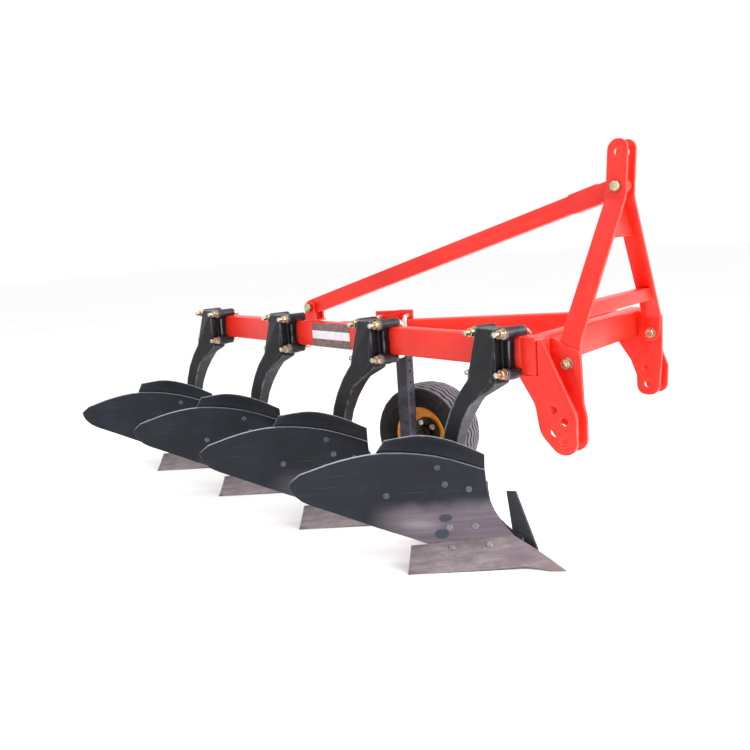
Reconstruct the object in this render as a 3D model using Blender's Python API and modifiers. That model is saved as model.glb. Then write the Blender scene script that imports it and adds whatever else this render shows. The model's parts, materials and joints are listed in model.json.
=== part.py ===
"""A four-furrow mounted mouldboard plough, standing on its shares, landsides and gauge wheel.

+X is the direction of travel, +Y the ploughman's left (the unploughed land), +Z up. The drawing
is made with x = y = 0 at the first shank clamp, 50 mm inside the diagonal beam's right face, and
z = 0 at the furrow bottom. At the end the root empty shifts the whole plough, so that its origin
is the middle of its base.
All lengths are in metres.
"""
import math

import bmesh
import bpy
from mathutils import Matrix, Vector

# ---------------------------------------------------------------- driving dimensions
TOUCH = 0.0003  # gap between two pieces that touch

BODY_COUNT = 4
BODY_SPACING = 0.650  # from one bottom to the next, along the diagonal beam
BEAM_ANGLE = math.radians(19.16)  # the diagonal beam runs to the rear left

BEAM_WIDTH = 0.060
BEAM_RIGHT_FACE = -0.050  # from the drawing's origin, square to the beam
BEAM_HEIGHT = 0.100
BEAM_CLEARANCE = 0.612  # furrow bottom to the underside of the frame
BEAM_FRONT_OVERHANG = 0.098
BEAM_REAR_OVERHANG = 0.110
BEAM_EDGE_RADIUS = 0.008
END_BLOCK_LENGTH = 0.059  # the deep block on the beam's front end
END_BLOCK_DROP = 0.018  # how far it reaches below the beam
END_BLOCK_LIP = 0.003

CROSS_BEAM_FRONT_X = 0.150
LEFT_BEAM_ANGLE = math.radians(20.9)
LEFT_BEAM_START_Y = 0.735  # where its left face meets the cross beam's rear face

MAST_CENTRE_Y = 0.371
HITCH_HALF_SPREAD = 0.384  # mast centre to the outer face of each mast bar
HITCH_PLATE_THICKNESS = 0.014
LOWER_LINK_GAP = 0.054
LINK_HOLE_RADIUS = 0.0142
LEFT_LINK_HOLE_RADIUS = 0.0128
RIGHT_LINK_HOLES = [(0.183, 0.491), (0.217, 0.455), (0.182, 0.420), (0.216, 0.391)]
LEFT_LINK_HOLES = [(0.180, 0.488), (0.183, 0.426)]
RIGHT_OUTER_UNDER_X = 0.072  # how far back each plate laps under its beam
RIGHT_INNER_UNDER_X = 0.120
LEFT_UNDER_X = 0.060
# Corners (x, z, radius) of each plate in front of and below the beam, from its top round to its rear edge.
RIGHT_OUTER_CORNERS = [(0.258, 0.474, 0.070), (0.256, 0.352, 0.036), (0.196, 0.352, 0.045),
                       (0.138, 0.414, 0.080), (0.124, 0.505, 0.090)]
RIGHT_INNER_CORNERS = [(0.200, 0.676, 0.040), (0.246, 0.664, 0.022), (0.252, 0.500, 0.050),
                       (0.262, 0.455, 0.030), (0.262, 0.352, 0.038), (0.196, 0.352, 0.045),
                       (0.138, 0.414, 0.080), (0.130, 0.505, 0.090)]
LEFT_OUTER_CORNERS = [(0.241, 0.490, 0.030), (0.238, 0.386, 0.036), (0.160, 0.386, 0.036),
                      (0.150, 0.462, 0.030), (0.122, 0.520, 0.040)]
LEFT_INNER_CORNERS = [(0.243, 0.698, 0.020), (0.241, 0.540, 0.060), (0.228, 0.386, 0.036),
                      (0.146, 0.386, 0.036), (0.144, 0.462, 0.030), (0.122, 0.520, 0.040)]

MAST_BAR_THICKNESS = 0.012
MAST_BAR_WIDTH = 0.068
MAST_FOOT_X = 0.2045
MAST_HEAD_X = 0.246
MAST_FOOT_Z = 0.594
MAST_LOWER_BEND_Z = 0.690
MAST_UPPER_BEND_Z = 1.121
MAST_TOP_Z = 1.306
MAST_BEND_HALF = 0.008  # half the height that each bend takes
# Round ends of the mast bars: distance from the end, and the share of the bar's width there.
MAST_END_ROUNDING = [(0.032, 1.0), (0.023, 0.95), (0.013, 0.80), (0.005, 0.55), (0.0, 0.26)]
TOP_LINK_GAP = 0.066
TOP_LINK_HOLE_Z = 1.265
TOP_LINK_HOLE_RADIUS = 0.0130
MAST_BOLT_Z = 0.6245
MAST_BOLT_RADIUS = 0.0100
SPACER_BOTTOM_Z = 0.990
SPACER_TOP_Z = 1.095
SPACER_THICKNESS = 0.012
MAST_RAIL_SIZE = 0.044
MAST_RAIL_Z = 0.776

BRACE_BOLT_Z = 1.156
BRACE_BOLT_RADIUS = 0.0110
BRACE_HEIGHT = 0.060
BRACE_WIDTH = 0.040
BRACE_END_RADIUS = 0.0297
LUG_PIVOT_HEIGHT = 0.058  # above the beam
LUG_THICKNESS = 0.010
LUG_RADIUS = 0.0240
LUG_LENGTH = 0.050
LUG_BASE_THICKNESS = 0.006
LUG_BASE_MARGIN = 0.005  # beyond the lugs, all round
LUG_SIDE = 0.014  # the pivot lies this far left of the beam's middle line

U_BOLT_RADIUS = 0.009
U_BOLT_SPACING = 0.133
U_BOLT_RISE = 0.0125  # rod centre above and below the beam
U_BOLT_FAR = 0.0105  # rod centre behind the beam's far face
U_BOLT_REACH = 0.085  # rod end in front of the beam's near face
U_BOLT_BEND_RADIUS = 0.018

HEAD_TRUNK_WIDTH = 0.084
HEAD_TRUNK_DEPTH = 0.062
HEAD_TRUNK_DROP = 0.012  # how far it reaches below the head plate
HEAD_TRUNK_SHIFT = 0.003  # forward of the clamp's middle
HEAD_PLATE_WIDTH = 0.148
HEAD_PLATE_DEPTH = 0.028
HEAD_RISE = 0.034  # above and below the beam
BOSS_RADIUS = 0.020
BOSS_DEPTH = 0.044
BOSS_LAP = 0.046  # how far the upper bosses reach back over the beam
LIP_LAP = 0.030
HEAD_LIP_WIDTH = 0.120

ARM_RIGHT_Y = -0.129
ARM_CENTRE_X = 0.242
ARM_CENTRE_Z = 0.280
ARM_INNER_RADIUS = 0.390
ARM_OUTER_RADIUS = 0.449
ARM_TOP_THICKNESS = 0.100
ARM_FOOT_THICKNESS = 0.054
ARM_TOP_ANGLE = math.radians(50)
ARM_TAPER_ANGLE = math.radians(12)
ARM_FOOT_ANGLE = math.radians(-24)

SHARE_TIP_X = 0.234
SHARE_TIP_Y = -0.138
SHARE_EDGE_ANGLE = math.radians(28)
SHELL_GAP = 0.00095  # between shells laid one behind the other
BOARD_THICKNESS = 0.007
FROG_THICKNESS = 0.012
GUIDE_REACH = 0.185  # how far the board's guide curve runs back from the share's edge
GUIDE_HEIGHT = 0.240  # the height where the guide curve stands upright
GUIDE_CURL_RADIUS = 0.250
GUIDE_PLACE = 0.236  # the guide curve's distance from the tip, along the share's edge
TWIST_LIMIT = math.radians(12.5)
TWIST_HEIGHT = 0.160
SEAM_GAP = 0.0006

# Outlines on the soil surface: (distance from the tip along the share's edge, height).
SHARE_NOSE = [(0.0, 0.0), (0.050, 0.0), (0.084, 0.007), (0.123, 0.012)]
SHARE_WING = [(0.491, 0.0), (0.485, 0.064)]
SHARE_SEAM_START = (0.156, 0.075)
BOARD_SHIN = [SHARE_SEAM_START, (0.191, 0.111), (0.215, 0.148), (0.234, 0.203), (0.240, 0.280)]
BOARD_TOP = [(0.240, 0.280), (0.395, 0.342), (0.555, 0.3685), (0.691, 0.353), (0.824, 0.313)]
BOARD_WING = [(0.794, 0.200), (0.830, 0.221), (0.856, 0.254), (0.861, 0.285), (0.824, 0.313)]
BOARD_FOOT_CORNER = (0.428, 0.066)
BOARD_FOOT = [BOARD_FOOT_CORNER, (0.573, 0.109), (0.677, 0.149), (0.794, 0.200)]
FLAP_FRONT = [(0.240, 0.262), (0.238, 0.330)]
FLAP_FOOT_MIDDLE = (0.420, 0.322)
FLAP_TOP = [(0.238, 0.330), (0.335, 0.386), (0.434, 0.418), (0.546, 0.409)]
FLAP_REAR = [(0.600, 0.335), (0.546, 0.409)]
FLAP_THICKNESS = 0.004
FROG_FRONT = 0.215
FROG_REAR = 0.412
FROG_BOTTOM_Z = 0.034
FROG_TOP_Z = 0.298
FROG_BLOCK_REAR_X = -0.190

LANDSIDE_RIGHT_Y = -0.0742
LANDSIDE_THICKNESS = 0.010
LANDSIDE_HEIGHT = 0.085
LANDSIDE_REAR_X = -0.330
KNIFE = [(0.108, 0.0), (0.102, 0.033), (0.033, 0.214), (0.001, 0.212), (0.017, 0.081)]

WHEEL_RADIUS = 0.212
WHEEL_WIDTH = 0.190
WHEEL_X = -0.714
WHEEL_Y = 0.618
TYRE_WALL = 0.012
RIM_SEAT_RADIUS = 0.110
RIM_FLANGE_RADIUS = 0.123
RIM_WIDTH = 0.130
RIM_THICKNESS = 0.004
HUB_RADIUS = 0.034
HUB_LENGTH = 0.112
AXLE_RADIUS = 0.0150
AXLE_CLEARANCE = 0.0010
LEG_SIZE = 0.050
LEG_X = -0.724
LEG_Y = 0.478
LEG_BOTTOM_Z = 0.172
LEG_TOP_Z = 0.742
LEG_HOLE_RADIUS = 0.0065
LEG_HOLE_PITCH = 0.046
LEG_HOLE_COUNT = 10
LEG_HOLE_FIRST_Z = 0.262
SLEEVE_CLEARANCE = 0.0008
SLEEVE_WALL = 0.007
SLEEVE_FILLER = 0.035  # the solid wedge between the sleeve and its slanted plate
SLEEVE_HEIGHT = 0.120
WHEEL_PLATE_LENGTH = 0.152
WHEEL_PLATE_THICKNESS = 0.010
WHEEL_PLATE_RISE = 0.034
WHEEL_U_BOLT_SPACING = 0.112

# ---------------------------------------------------------------- derived places
BEAM_Z = BEAM_CLEARANCE + BEAM_HEIGHT / 2
BEAM_TOP = BEAM_CLEARANCE + BEAM_HEIGHT
BEAM_LEFT_FACE = BEAM_RIGHT_FACE + BEAM_WIDTH
BEAM_REAR = (BODY_COUNT - 1) * BODY_SPACING + BEAM_REAR_OVERHANG
STEP = Vector((-math.cos(BEAM_ANGLE), math.sin(BEAM_ANGLE), 0)) * BODY_SPACING
CROSS_BEAM_REAR_X = CROSS_BEAM_FRONT_X - BEAM_WIDTH
OUTER_PLATE_FACE = HITCH_HALF_SPREAD + TOUCH + 2 * HITCH_PLATE_THICKNESS + LOWER_LINK_GAP
BEAM_FRONT = BEAM_FRONT_OVERHANG + TOUCH + END_BLOCK_LENGTH
TIP = Vector((SHARE_TIP_X, SHARE_TIP_Y, 0))
EDGE_ALONG = Vector((-math.cos(SHARE_EDGE_ANGLE), -math.sin(SHARE_EDGE_ANGLE), 0))
EDGE_ACROSS = Vector((-math.sin(SHARE_EDGE_ANGLE), math.cos(SHARE_EDGE_ANGLE), 0))
U_BOLT_HALF_HEIGHT = BEAM_HEIGHT / 2 + U_BOLT_RISE

PARTS = bpy.data.collections.new("mouldboard_plough")
CUTTERS = bpy.data.collections.new("cutters")


# ---------------------------------------------------------------- scene and materials
def clear_scene():
    for obj in list(bpy.data.objects):
        bpy.data.objects.remove(obj, do_unlink=True)
    bpy.context.scene.collection.children.link(PARTS)
    bpy.context.scene.collection.children.link(CUTTERS)


def make_material(name, colour, roughness, metallic):
    made = bpy.data.materials.new(name)
    made.use_nodes = True
    shader = made.node_tree.nodes["Principled BSDF"]
    shader.inputs["Base Color"].default_value = (*colour, 1)
    shader.inputs["Roughness"].default_value = roughness
    shader.inputs["Metallic"].default_value = metallic
    return made


RED_PAINT = make_material("red_paint", (0.86, 0.05, 0.03), 0.35, 0.0)
BOARD_PAINT = make_material("board_paint", (0.03, 0.04, 0.06), 0.40, 0.2)
SHARE_STEEL = make_material("share_steel", (0.30, 0.26, 0.27), 0.45, 0.8)
CAST_BLACK = make_material("cast_black", (0.02, 0.02, 0.025), 0.50, 0.1)
ZINC = make_material("zinc", (0.70, 0.66, 0.55), 0.30, 0.9)
RIM_PAINT = make_material("rim_paint", (0.92, 0.38, 0.02), 0.40, 0.0)
RUBBER = make_material("rubber", (0.03, 0.03, 0.03), 0.80, 0.0)
LEG_STEEL = make_material("leg_steel", (0.05, 0.05, 0.06), 0.50, 0.3)


def make_empty(name, parent, location=(0, 0, 0), turn_z=0.0):
    empty = bpy.data.objects.new(name, None)
    empty.location = location
    empty.rotation_euler = (0, 0, turn_z)
    empty.parent = parent
    PARTS.objects.link(empty)
    return empty


def make_object(name, data, material, parent, location=(0, 0, 0)):
    obj = bpy.data.objects.new(name, data)
    obj.location = location
    obj.parent = parent
    PARTS.objects.link(obj)
    if material is not None:
        data.materials.append(material)
    return obj


def as_cutter(obj):
    """Turn an object into a hidden helper for a Boolean."""
    PARTS.objects.unlink(obj)
    CUTTERS.objects.link(obj)
    obj.hide_render = True
    obj.display_type = "WIRE"
    return obj


def add_boolean(obj, other, operation):
    modifier = obj.modifiers.new(operation.lower(), "BOOLEAN")
    modifier.operation = operation
    modifier.solver = "EXACT"
    modifier.object = other


def add_bevel(obj, width, segments=2):
    modifier = obj.modifiers.new("rounded_edges", "BEVEL")
    modifier.width = width
    modifier.segments = segments
    modifier.limit_method = "ANGLE"
    modifier.angle_limit = math.radians(40)


# ---------------------------------------------------------------- basic shapes
def box_mesh(name, low, high):
    """A box between two corners."""
    low, high = Vector(low), Vector(high)
    shape = bmesh.new()
    bmesh.ops.create_cube(shape, size=1)
    bmesh.ops.scale(shape, vec=high - low, verts=shape.verts)
    bmesh.ops.translate(shape, vec=(low + high) / 2, verts=shape.verts)
    return mesh_of(name, shape)


def mesh_of(name, shape):
    mesh = bpy.data.meshes.new(name)
    shape.to_mesh(mesh)
    shape.free()
    return mesh


def cylinder_mesh(name, radius, start, end, segments=24):
    """A cylinder between two points."""
    start, end = Vector(start), Vector(end)
    along = end - start
    shape = bmesh.new()
    bmesh.ops.create_cone(shape, cap_ends=True, segments=segments, radius1=radius, radius2=radius,
                          depth=along.length)
    turn = Vector((0, 0, 1)).rotation_difference(along).to_matrix().to_4x4()
    bmesh.ops.transform(shape, matrix=Matrix.Translation((start + end) / 2) @ turn, verts=shape.verts)
    mesh = mesh_of(name, shape)
    mesh.shade_smooth()
    mesh.set_sharp_from_angle(angle=math.radians(35))
    return mesh


def join_meshes(name, meshes):
    """Put meshes that don't touch into one cutter."""
    shape = bmesh.new()
    for mesh in meshes:
        shape.from_mesh(mesh)
    return mesh_of(name, shape)


def circle_points(centre, radius, count=20):
    turns = [2 * math.pi * i / count for i in range(count)]
    return [(centre[0] + radius * math.cos(a), centre[1] + radius * math.sin(a)) for a in turns]


def rounded_outline(corners, steps=4):
    """Points of an outline whose corners (x, y, radius) are arcs."""
    points = []
    for i, (x, y, radius) in enumerate(corners):
        here = Vector((x, y))
        before = (Vector(corners[i - 1][:2]) - here).normalized()
        after = (Vector(corners[(i + 1) % len(corners)][:2]) - here).normalized()
        if radius == 0:
            points.append((x, y))
            continue
        half = before.angle(after) / 2
        centre = here + (before + after).normalized() * (radius / math.sin(half))
        first = here + before * (radius / math.tan(half)) - centre
        last = here + after * (radius / math.tan(half)) - centre
        sweep = first.angle_signed(last)
        for step in range(steps + 1):
            turn = Matrix.Rotation(-sweep * step / steps, 2)
            points.append(tuple(centre + turn @ first))
    return points


def outline_mesh(name, outline, thickness, holes=()):
    """A flat plate in the XY plane, from z = 0 to its thickness, as a filled and extruded curve."""
    curve = bpy.data.curves.new(name, "CURVE")
    curve.dimensions = "2D"
    curve.fill_mode = "BOTH"
    curve.extrude = thickness / 2
    for loop in [outline, *holes]:
        spline = curve.splines.new("POLY")
        spline.points.add(len(loop) - 1)
        for point, (x, y) in zip(spline.points, loop):
            point.co = (x, y, 0, 1)
        spline.use_cyclic_u = True
    guide = bpy.data.objects.new(name, curve)
    bpy.context.scene.collection.objects.link(guide)
    bpy.context.view_layer.update()
    evaluated = guide.evaluated_get(bpy.context.evaluated_depsgraph_get())
    mesh = bpy.data.meshes.new_from_object(evaluated)
    bpy.data.objects.remove(guide, do_unlink=True)
    bpy.data.curves.remove(curve)
    shape = bmesh.new()
    shape.from_mesh(mesh)
    bmesh.ops.remove_doubles(shape, verts=shape.verts, dist=0.00001)
    bmesh.ops.translate(shape, vec=(0, 0, thickness / 2), verts=shape.verts)
    bmesh.ops.recalc_face_normals(shape, faces=shape.faces)
    shape.to_mesh(mesh)
    shape.free()
    return mesh


def upright_plate_mesh(name, outline, thickness, right_y, holes=()):
    """A plate in the XZ plane. Its outline is (x, z) and its right face lies at right_y."""
    mesh = outline_mesh(name, outline, thickness, holes)
    mesh.transform(Matrix.Translation((0, right_y + thickness, 0)) @ Matrix.Rotation(math.pi / 2, 4, "X"))
    return mesh


def loft_mesh(name, sections):
    """A closed solid through sections of equal point counts."""
    shape = bmesh.new()
    rings = [[shape.verts.new(point) for point in section] for section in sections]
    count = len(sections[0])
    for ring, following in zip(rings, rings[1:]):
        for i in range(count):
            j = (i + 1) % count
            shape.faces.new((ring[i], ring[j], following[j], following[i]))
    shape.faces.new(rings[0][::-1])
    shape.faces.new(rings[-1])
    bmesh.ops.recalc_face_normals(shape, faces=shape.faces)
    return mesh_of(name, shape)


def rod_object(name, points, radius, material, parent):
    """A round rod along a path of points, with closed ends."""
    curve = bpy.data.curves.new(name, "CURVE")
    curve.dimensions = "3D"
    curve.bevel_depth = radius
    curve.bevel_resolution = 2
    curve.use_fill_caps = True
    spline = curve.splines.new("POLY")
    spline.points.add(len(points) - 1)
    for point, place in zip(spline.points, points):
        point.co = (*place, 1)
    spline.use_smooth = True
    return make_object(name, curve, material, parent)


def turned_object(name, profile, material, parent, location, steps=40):
    """A ring turned about the object's own Y axis from a closed profile of (radius, y)."""
    shape = bmesh.new()
    points = [shape.verts.new((radius, 0, y)) for radius, y in profile]
    for first, second in zip(points, points[1:] + points[:1]):
        shape.edges.new((first, second))
    obj = make_object(name, mesh_of(name, shape), material, parent, location)
    obj.rotation_euler = (-math.pi / 2, 0, 0)
    modifier = obj.modifiers.new("turned", "SCREW")
    modifier.axis = "Z"
    modifier.steps = steps
    modifier.render_steps = steps
    modifier.use_merge_vertices = True
    modifier.merge_threshold = 0.0001
    modifier.use_smooth_shade = True
    return obj


# ---------------------------------------------------------------- frame
def beam_frame(root):
    """+X of this empty runs forward along the diagonal beam, from the first clamp."""
    return make_empty("diagonal_beam_line", root, (0, 0, BEAM_Z), -BEAM_ANGLE)


def make_diagonal_beam(line):
    half = BEAM_HEIGHT / 2
    low, high = (-BEAM_REAR, BEAM_RIGHT_FACE, -half), (BEAM_FRONT_OVERHANG, BEAM_LEFT_FACE, half)
    beam = make_object("diagonal_beam", box_mesh("diagonal_beam", low, high), RED_PAINT, line)
    add_bevel(beam, BEAM_EDGE_RADIUS)
    low = (BEAM_FRONT_OVERHANG + TOUCH, BEAM_RIGHT_FACE - END_BLOCK_LIP, -half - END_BLOCK_DROP)
    high = (BEAM_FRONT, BEAM_LEFT_FACE, half)
    block = make_object("beam_end_block", box_mesh("beam_end_block", low, high), RED_PAINT, line)
    add_bevel(block, BEAM_EDGE_RADIUS / 2)


def far_face_y(x):
    """Where the diagonal beam's left face lies at a given x."""
    return BEAM_LEFT_FACE / math.cos(BEAM_ANGLE) - x * math.tan(BEAM_ANGLE)


def end_face_x(y):
    """Where the end block's front face lies at a given y."""
    return (BEAM_FRONT + y * math.sin(BEAM_ANGLE)) / math.cos(BEAM_ANGLE)


def bevelled_beam(name, corners, parent):
    """A square-edged beam on a four-cornered plan (x, y), rounded along its edges."""
    beam = make_object(name, outline_mesh(name, corners, BEAM_HEIGHT), RED_PAINT, parent)
    beam.location.z = BEAM_CLEARANCE
    add_bevel(beam, BEAM_EDGE_RADIUS)
    return beam


def make_cross_beam(root):
    """It butts against the diagonal beam's left face, and runs to the left hitch plates."""
    left = MAST_CENTRE_Y + OUTER_PLATE_FACE
    gap = TOUCH / math.cos(BEAM_ANGLE)
    plan = [(CROSS_BEAM_REAR_X, far_face_y(CROSS_BEAM_REAR_X) + gap),
            (CROSS_BEAM_FRONT_X, far_face_y(CROSS_BEAM_FRONT_X) + gap),
            (CROSS_BEAM_FRONT_X, left), (CROSS_BEAM_REAR_X, left)]
    bevelled_beam("front_cross_beam", plan, root)


def left_beam_y(x, offset):
    """Y on the line of the left beam's left face at a given x, moved right by offset."""
    run = x - CROSS_BEAM_REAR_X
    return LEFT_BEAM_START_Y + run * math.tan(LEFT_BEAM_ANGLE) - offset / math.cos(LEFT_BEAM_ANGLE)


def left_beam_end_x(offset):
    """Where a line along the left beam meets the diagonal beam's left face."""
    slope = math.tan(LEFT_BEAM_ANGLE) + math.tan(BEAM_ANGLE)
    gap = TOUCH / math.cos(BEAM_ANGLE)
    return (far_face_y(0) + gap - left_beam_y(0, offset)) / slope


def make_left_beam(root):
    """The oblique beam from the cross beam's rear face to the diagonal beam."""
    front = CROSS_BEAM_REAR_X - TOUCH
    plan = []
    for offset in (0, BEAM_WIDTH):
        rear = left_beam_end_x(offset)
        ends = [(rear, left_beam_y(rear, offset)), (front, left_beam_y(front, offset))]
        plan += ends if offset == 0 else ends[::-1]
    bevelled_beam("left_beam", plan, root)


# ---------------------------------------------------------------- hitch and mast
def plate_outline(front, top, under, below, corners):
    """It stands on a beam's front face from its underside to its top, and laps under it."""
    head = [(front, below, 0), (front, top, 0)]
    return rounded_outline([*head, *corners, (under, below, 0)])


def make_hitch_plates(root):
    """Two pairs of lugs for the tractor's lower links. Each inner plate backs a mast bar."""
    inner_face = HITCH_HALF_SPREAD + TOUCH
    outer_face = inner_face + HITCH_PLATE_THICKNESS + LOWER_LINK_GAP
    thick = HITCH_PLATE_THICKNESS
    front = CROSS_BEAM_FRONT_X + TOUCH
    below = BEAM_CLEARANCE - TOUCH
    top = BEAM_TOP - BEAM_EDGE_RADIUS
    nose = (front + 0.012, top, 0.004)
    outer_y = MAST_CENTRE_Y - outer_face
    outer_front = end_face_x(outer_y) + TOUCH / math.cos(BEAM_ANGLE)
    outer_nose = (outer_front + 0.014, top, 0.004)
    right_holes = [circle_points(place, LINK_HOLE_RADIUS, 16) for place in RIGHT_LINK_HOLES]
    left_holes = [circle_points(place, LEFT_LINK_HOLE_RADIUS, 16) for place in LEFT_LINK_HOLES]
    mast_hole = circle_points((MAST_FOOT_X, MAST_BOLT_Z), MAST_BOLT_RADIUS, 16)
    plates = (
        ("right_inner", MAST_CENTRE_Y - inner_face - thick, [*right_holes, mast_hole],
         plate_outline(front, top, RIGHT_INNER_UNDER_X, below, [nose, *RIGHT_INNER_CORNERS])),
        ("right_outer", outer_y - thick, right_holes,
         plate_outline(outer_front, top, RIGHT_OUTER_UNDER_X, below - END_BLOCK_DROP,
                       [outer_nose, *RIGHT_OUTER_CORNERS])),
        ("left_inner", MAST_CENTRE_Y + inner_face, [*left_holes, mast_hole],
         plate_outline(front, top, LEFT_UNDER_X, below, LEFT_INNER_CORNERS)),
        ("left_outer", MAST_CENTRE_Y + outer_face, left_holes,
         plate_outline(front, top, LEFT_UNDER_X, below, [nose, *LEFT_OUTER_CORNERS])))
    for side, right_y, holes, outline in plates:
        name = side + "_hitch_plate"
        mesh = upright_plate_mesh(name, outline, thick, right_y, holes)
        make_object(name, mesh, RED_PAINT, root)


def mast_x(z):
    """The mast bar's middle line leans forward from foot to head."""
    share = (z - MAST_BOLT_Z) / (TOP_LINK_HOLE_Z - MAST_BOLT_Z)
    return MAST_FOOT_X + share * (MAST_HEAD_X - MAST_FOOT_X)


def mast_offset(z):
    """The outer face of a mast bar from the mast's centre plane, at a height."""
    head = TOP_LINK_GAP / 2 + MAST_BAR_THICKNESS
    share = (z - MAST_LOWER_BEND_Z) / (MAST_UPPER_BEND_Z - MAST_LOWER_BEND_Z)
    return HITCH_HALF_SPREAD + (head - HITCH_HALF_SPREAD) * min(max(share, 0), 1)


def mast_bar_mesh(name, side):
    """A flat bar lofted through its bends, with its two upper holes cut by the caller."""
    lean = math.atan2(HITCH_HALF_SPREAD - TOP_LINK_GAP / 2 - MAST_BAR_THICKNESS,
                      MAST_UPPER_BEND_Z - MAST_LOWER_BEND_Z)
    sloped = MAST_BAR_THICKNESS / math.cos(lean)
    heights = [(MAST_FOOT_Z + rise, share) for rise, share in reversed(MAST_END_ROUNDING)]
    for bend in (MAST_LOWER_BEND_Z, MAST_UPPER_BEND_Z):
        heights += [(bend - MAST_BEND_HALF, 1.0), (bend + MAST_BEND_HALF, 1.0)]
    heights += [(MAST_TOP_Z - drop, share) for drop, share in MAST_END_ROUNDING]
    sections = []
    for z, share in heights:
        outer = mast_offset(z)
        on_slope = MAST_LOWER_BEND_Z < z < MAST_UPPER_BEND_Z
        inner = outer - (sloped if on_slope else MAST_BAR_THICKNESS)
        half = MAST_BAR_WIDTH / 2 * share
        corners = ((-half, outer), (half, outer), (half, inner), (-half, inner))
        sections.append([(mast_x(z) + x, MAST_CENTRE_Y + side * y, z) for x, y in corners])
    return loft_mesh(name, sections)


def make_mast_bars(root):
    for name, side in (("right_mast_bar", -1), ("left_mast_bar", 1)):
        bar = make_object(name, mast_bar_mesh(name, side), RED_PAINT, root)
        holes = []
        places = ((MAST_FOOT_X, MAST_BOLT_Z, MAST_BOLT_RADIUS, HITCH_HALF_SPREAD),
                  (mast_x(BRACE_BOLT_Z), BRACE_BOLT_Z, BRACE_BOLT_RADIUS + TOUCH, 0.03),
                  (mast_x(TOP_LINK_HOLE_Z), TOP_LINK_HOLE_Z, TOP_LINK_HOLE_RADIUS, 0.03))
        for x, z, radius, offset in places:
            y = MAST_CENTRE_Y + side * offset
            holes.append(cylinder_mesh("hole", radius, (x, y - 0.03, z), (x, y + 0.03, z), 16))
        cutter = as_cutter(make_object(name + "_holes", join_meshes("holes", holes), None, root))
        add_boolean(bar, cutter, "DIFFERENCE")


def between_bars(name, bottom, top, x_low, x_high, root):
    """A piece whose ends follow the mast bars' inner faces."""
    lean = math.atan2(HITCH_HALF_SPREAD - TOP_LINK_GAP / 2 - MAST_BAR_THICKNESS,
                      MAST_UPPER_BEND_Z - MAST_LOWER_BEND_Z)
    inset = (MAST_BAR_THICKNESS + TOUCH) / math.cos(lean)
    sections = []
    for z in (bottom, top):
        half = mast_offset(z) - inset
        corners = ((x_low, -half), (x_high, -half), (x_high, half), (x_low, half))
        sections.append([(x, MAST_CENTRE_Y + y, z) for x, y in corners])
    make_object(name, loft_mesh(name, sections), RED_PAINT, root)


def make_mast_ties(root):
    x = mast_x(SPACER_BOTTOM_Z)
    between_bars("mast_spacer", SPACER_BOTTOM_Z, SPACER_TOP_Z, x - SPACER_THICKNESS / 2,
                 x + SPACER_THICKNESS / 2, root)
    front = mast_x(MAST_RAIL_Z) + MAST_BAR_WIDTH / 2 - 0.012
    between_bars("mast_rail", MAST_RAIL_Z - MAST_RAIL_SIZE / 2, MAST_RAIL_Z + MAST_RAIL_SIZE / 2,
                 front - MAST_RAIL_SIZE, front, root)


# ---------------------------------------------------------------- brace
def lug_pivot():
    """The brace's lower pin stands over the diagonal beam, in the mast's centre plane."""
    side = BEAM_RIGHT_FACE + BEAM_WIDTH / 2 + LUG_SIDE
    x = (side - MAST_CENTRE_Y * math.cos(BEAM_ANGLE)) / math.sin(BEAM_ANGLE)
    return Vector((x, MAST_CENTRE_Y, BEAM_TOP + LUG_PIVOT_HEIGHT))


def make_brace_bracket(root):
    """Two lugs on one base plate, welded on the beam."""
    pivot = lug_pivot()
    half = LUG_LENGTH / 2
    base = BEAM_TOP + TOUCH
    top = pivot.z + LUG_RADIUS
    outline = rounded_outline([(pivot.x - half, base, 0), (pivot.x - half, top, LUG_RADIUS),
                               (pivot.x + half, top, LUG_RADIUS), (pivot.x + half, base, 0)])
    hole = circle_points((pivot.x, pivot.z), BRACE_BOLT_RADIUS + TOUCH, 16)
    gap = BRACE_WIDTH / 2 + 0.001
    right = upright_plate_mesh("right_lug", outline, LUG_THICKNESS, pivot.y - gap - LUG_THICKNESS, [hole])
    left = upright_plate_mesh("left_lug", outline, LUG_THICKNESS, pivot.y + gap, [hole])
    reach = gap + LUG_THICKNESS + LUG_BASE_MARGIN
    low = (pivot.x - half - LUG_BASE_MARGIN, pivot.y - reach, base)
    high = (pivot.x + half + LUG_BASE_MARGIN, pivot.y + reach, base + LUG_BASE_THICKNESS)
    bracket = make_object("brace_bracket", right, RED_PAINT, root)
    for name, mesh in (("lug_base", box_mesh("lug_base", low, high)), ("far_lug", left)):
        add_boolean(bracket, as_cutter(make_object(name, mesh, None, root)), "UNION")


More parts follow.
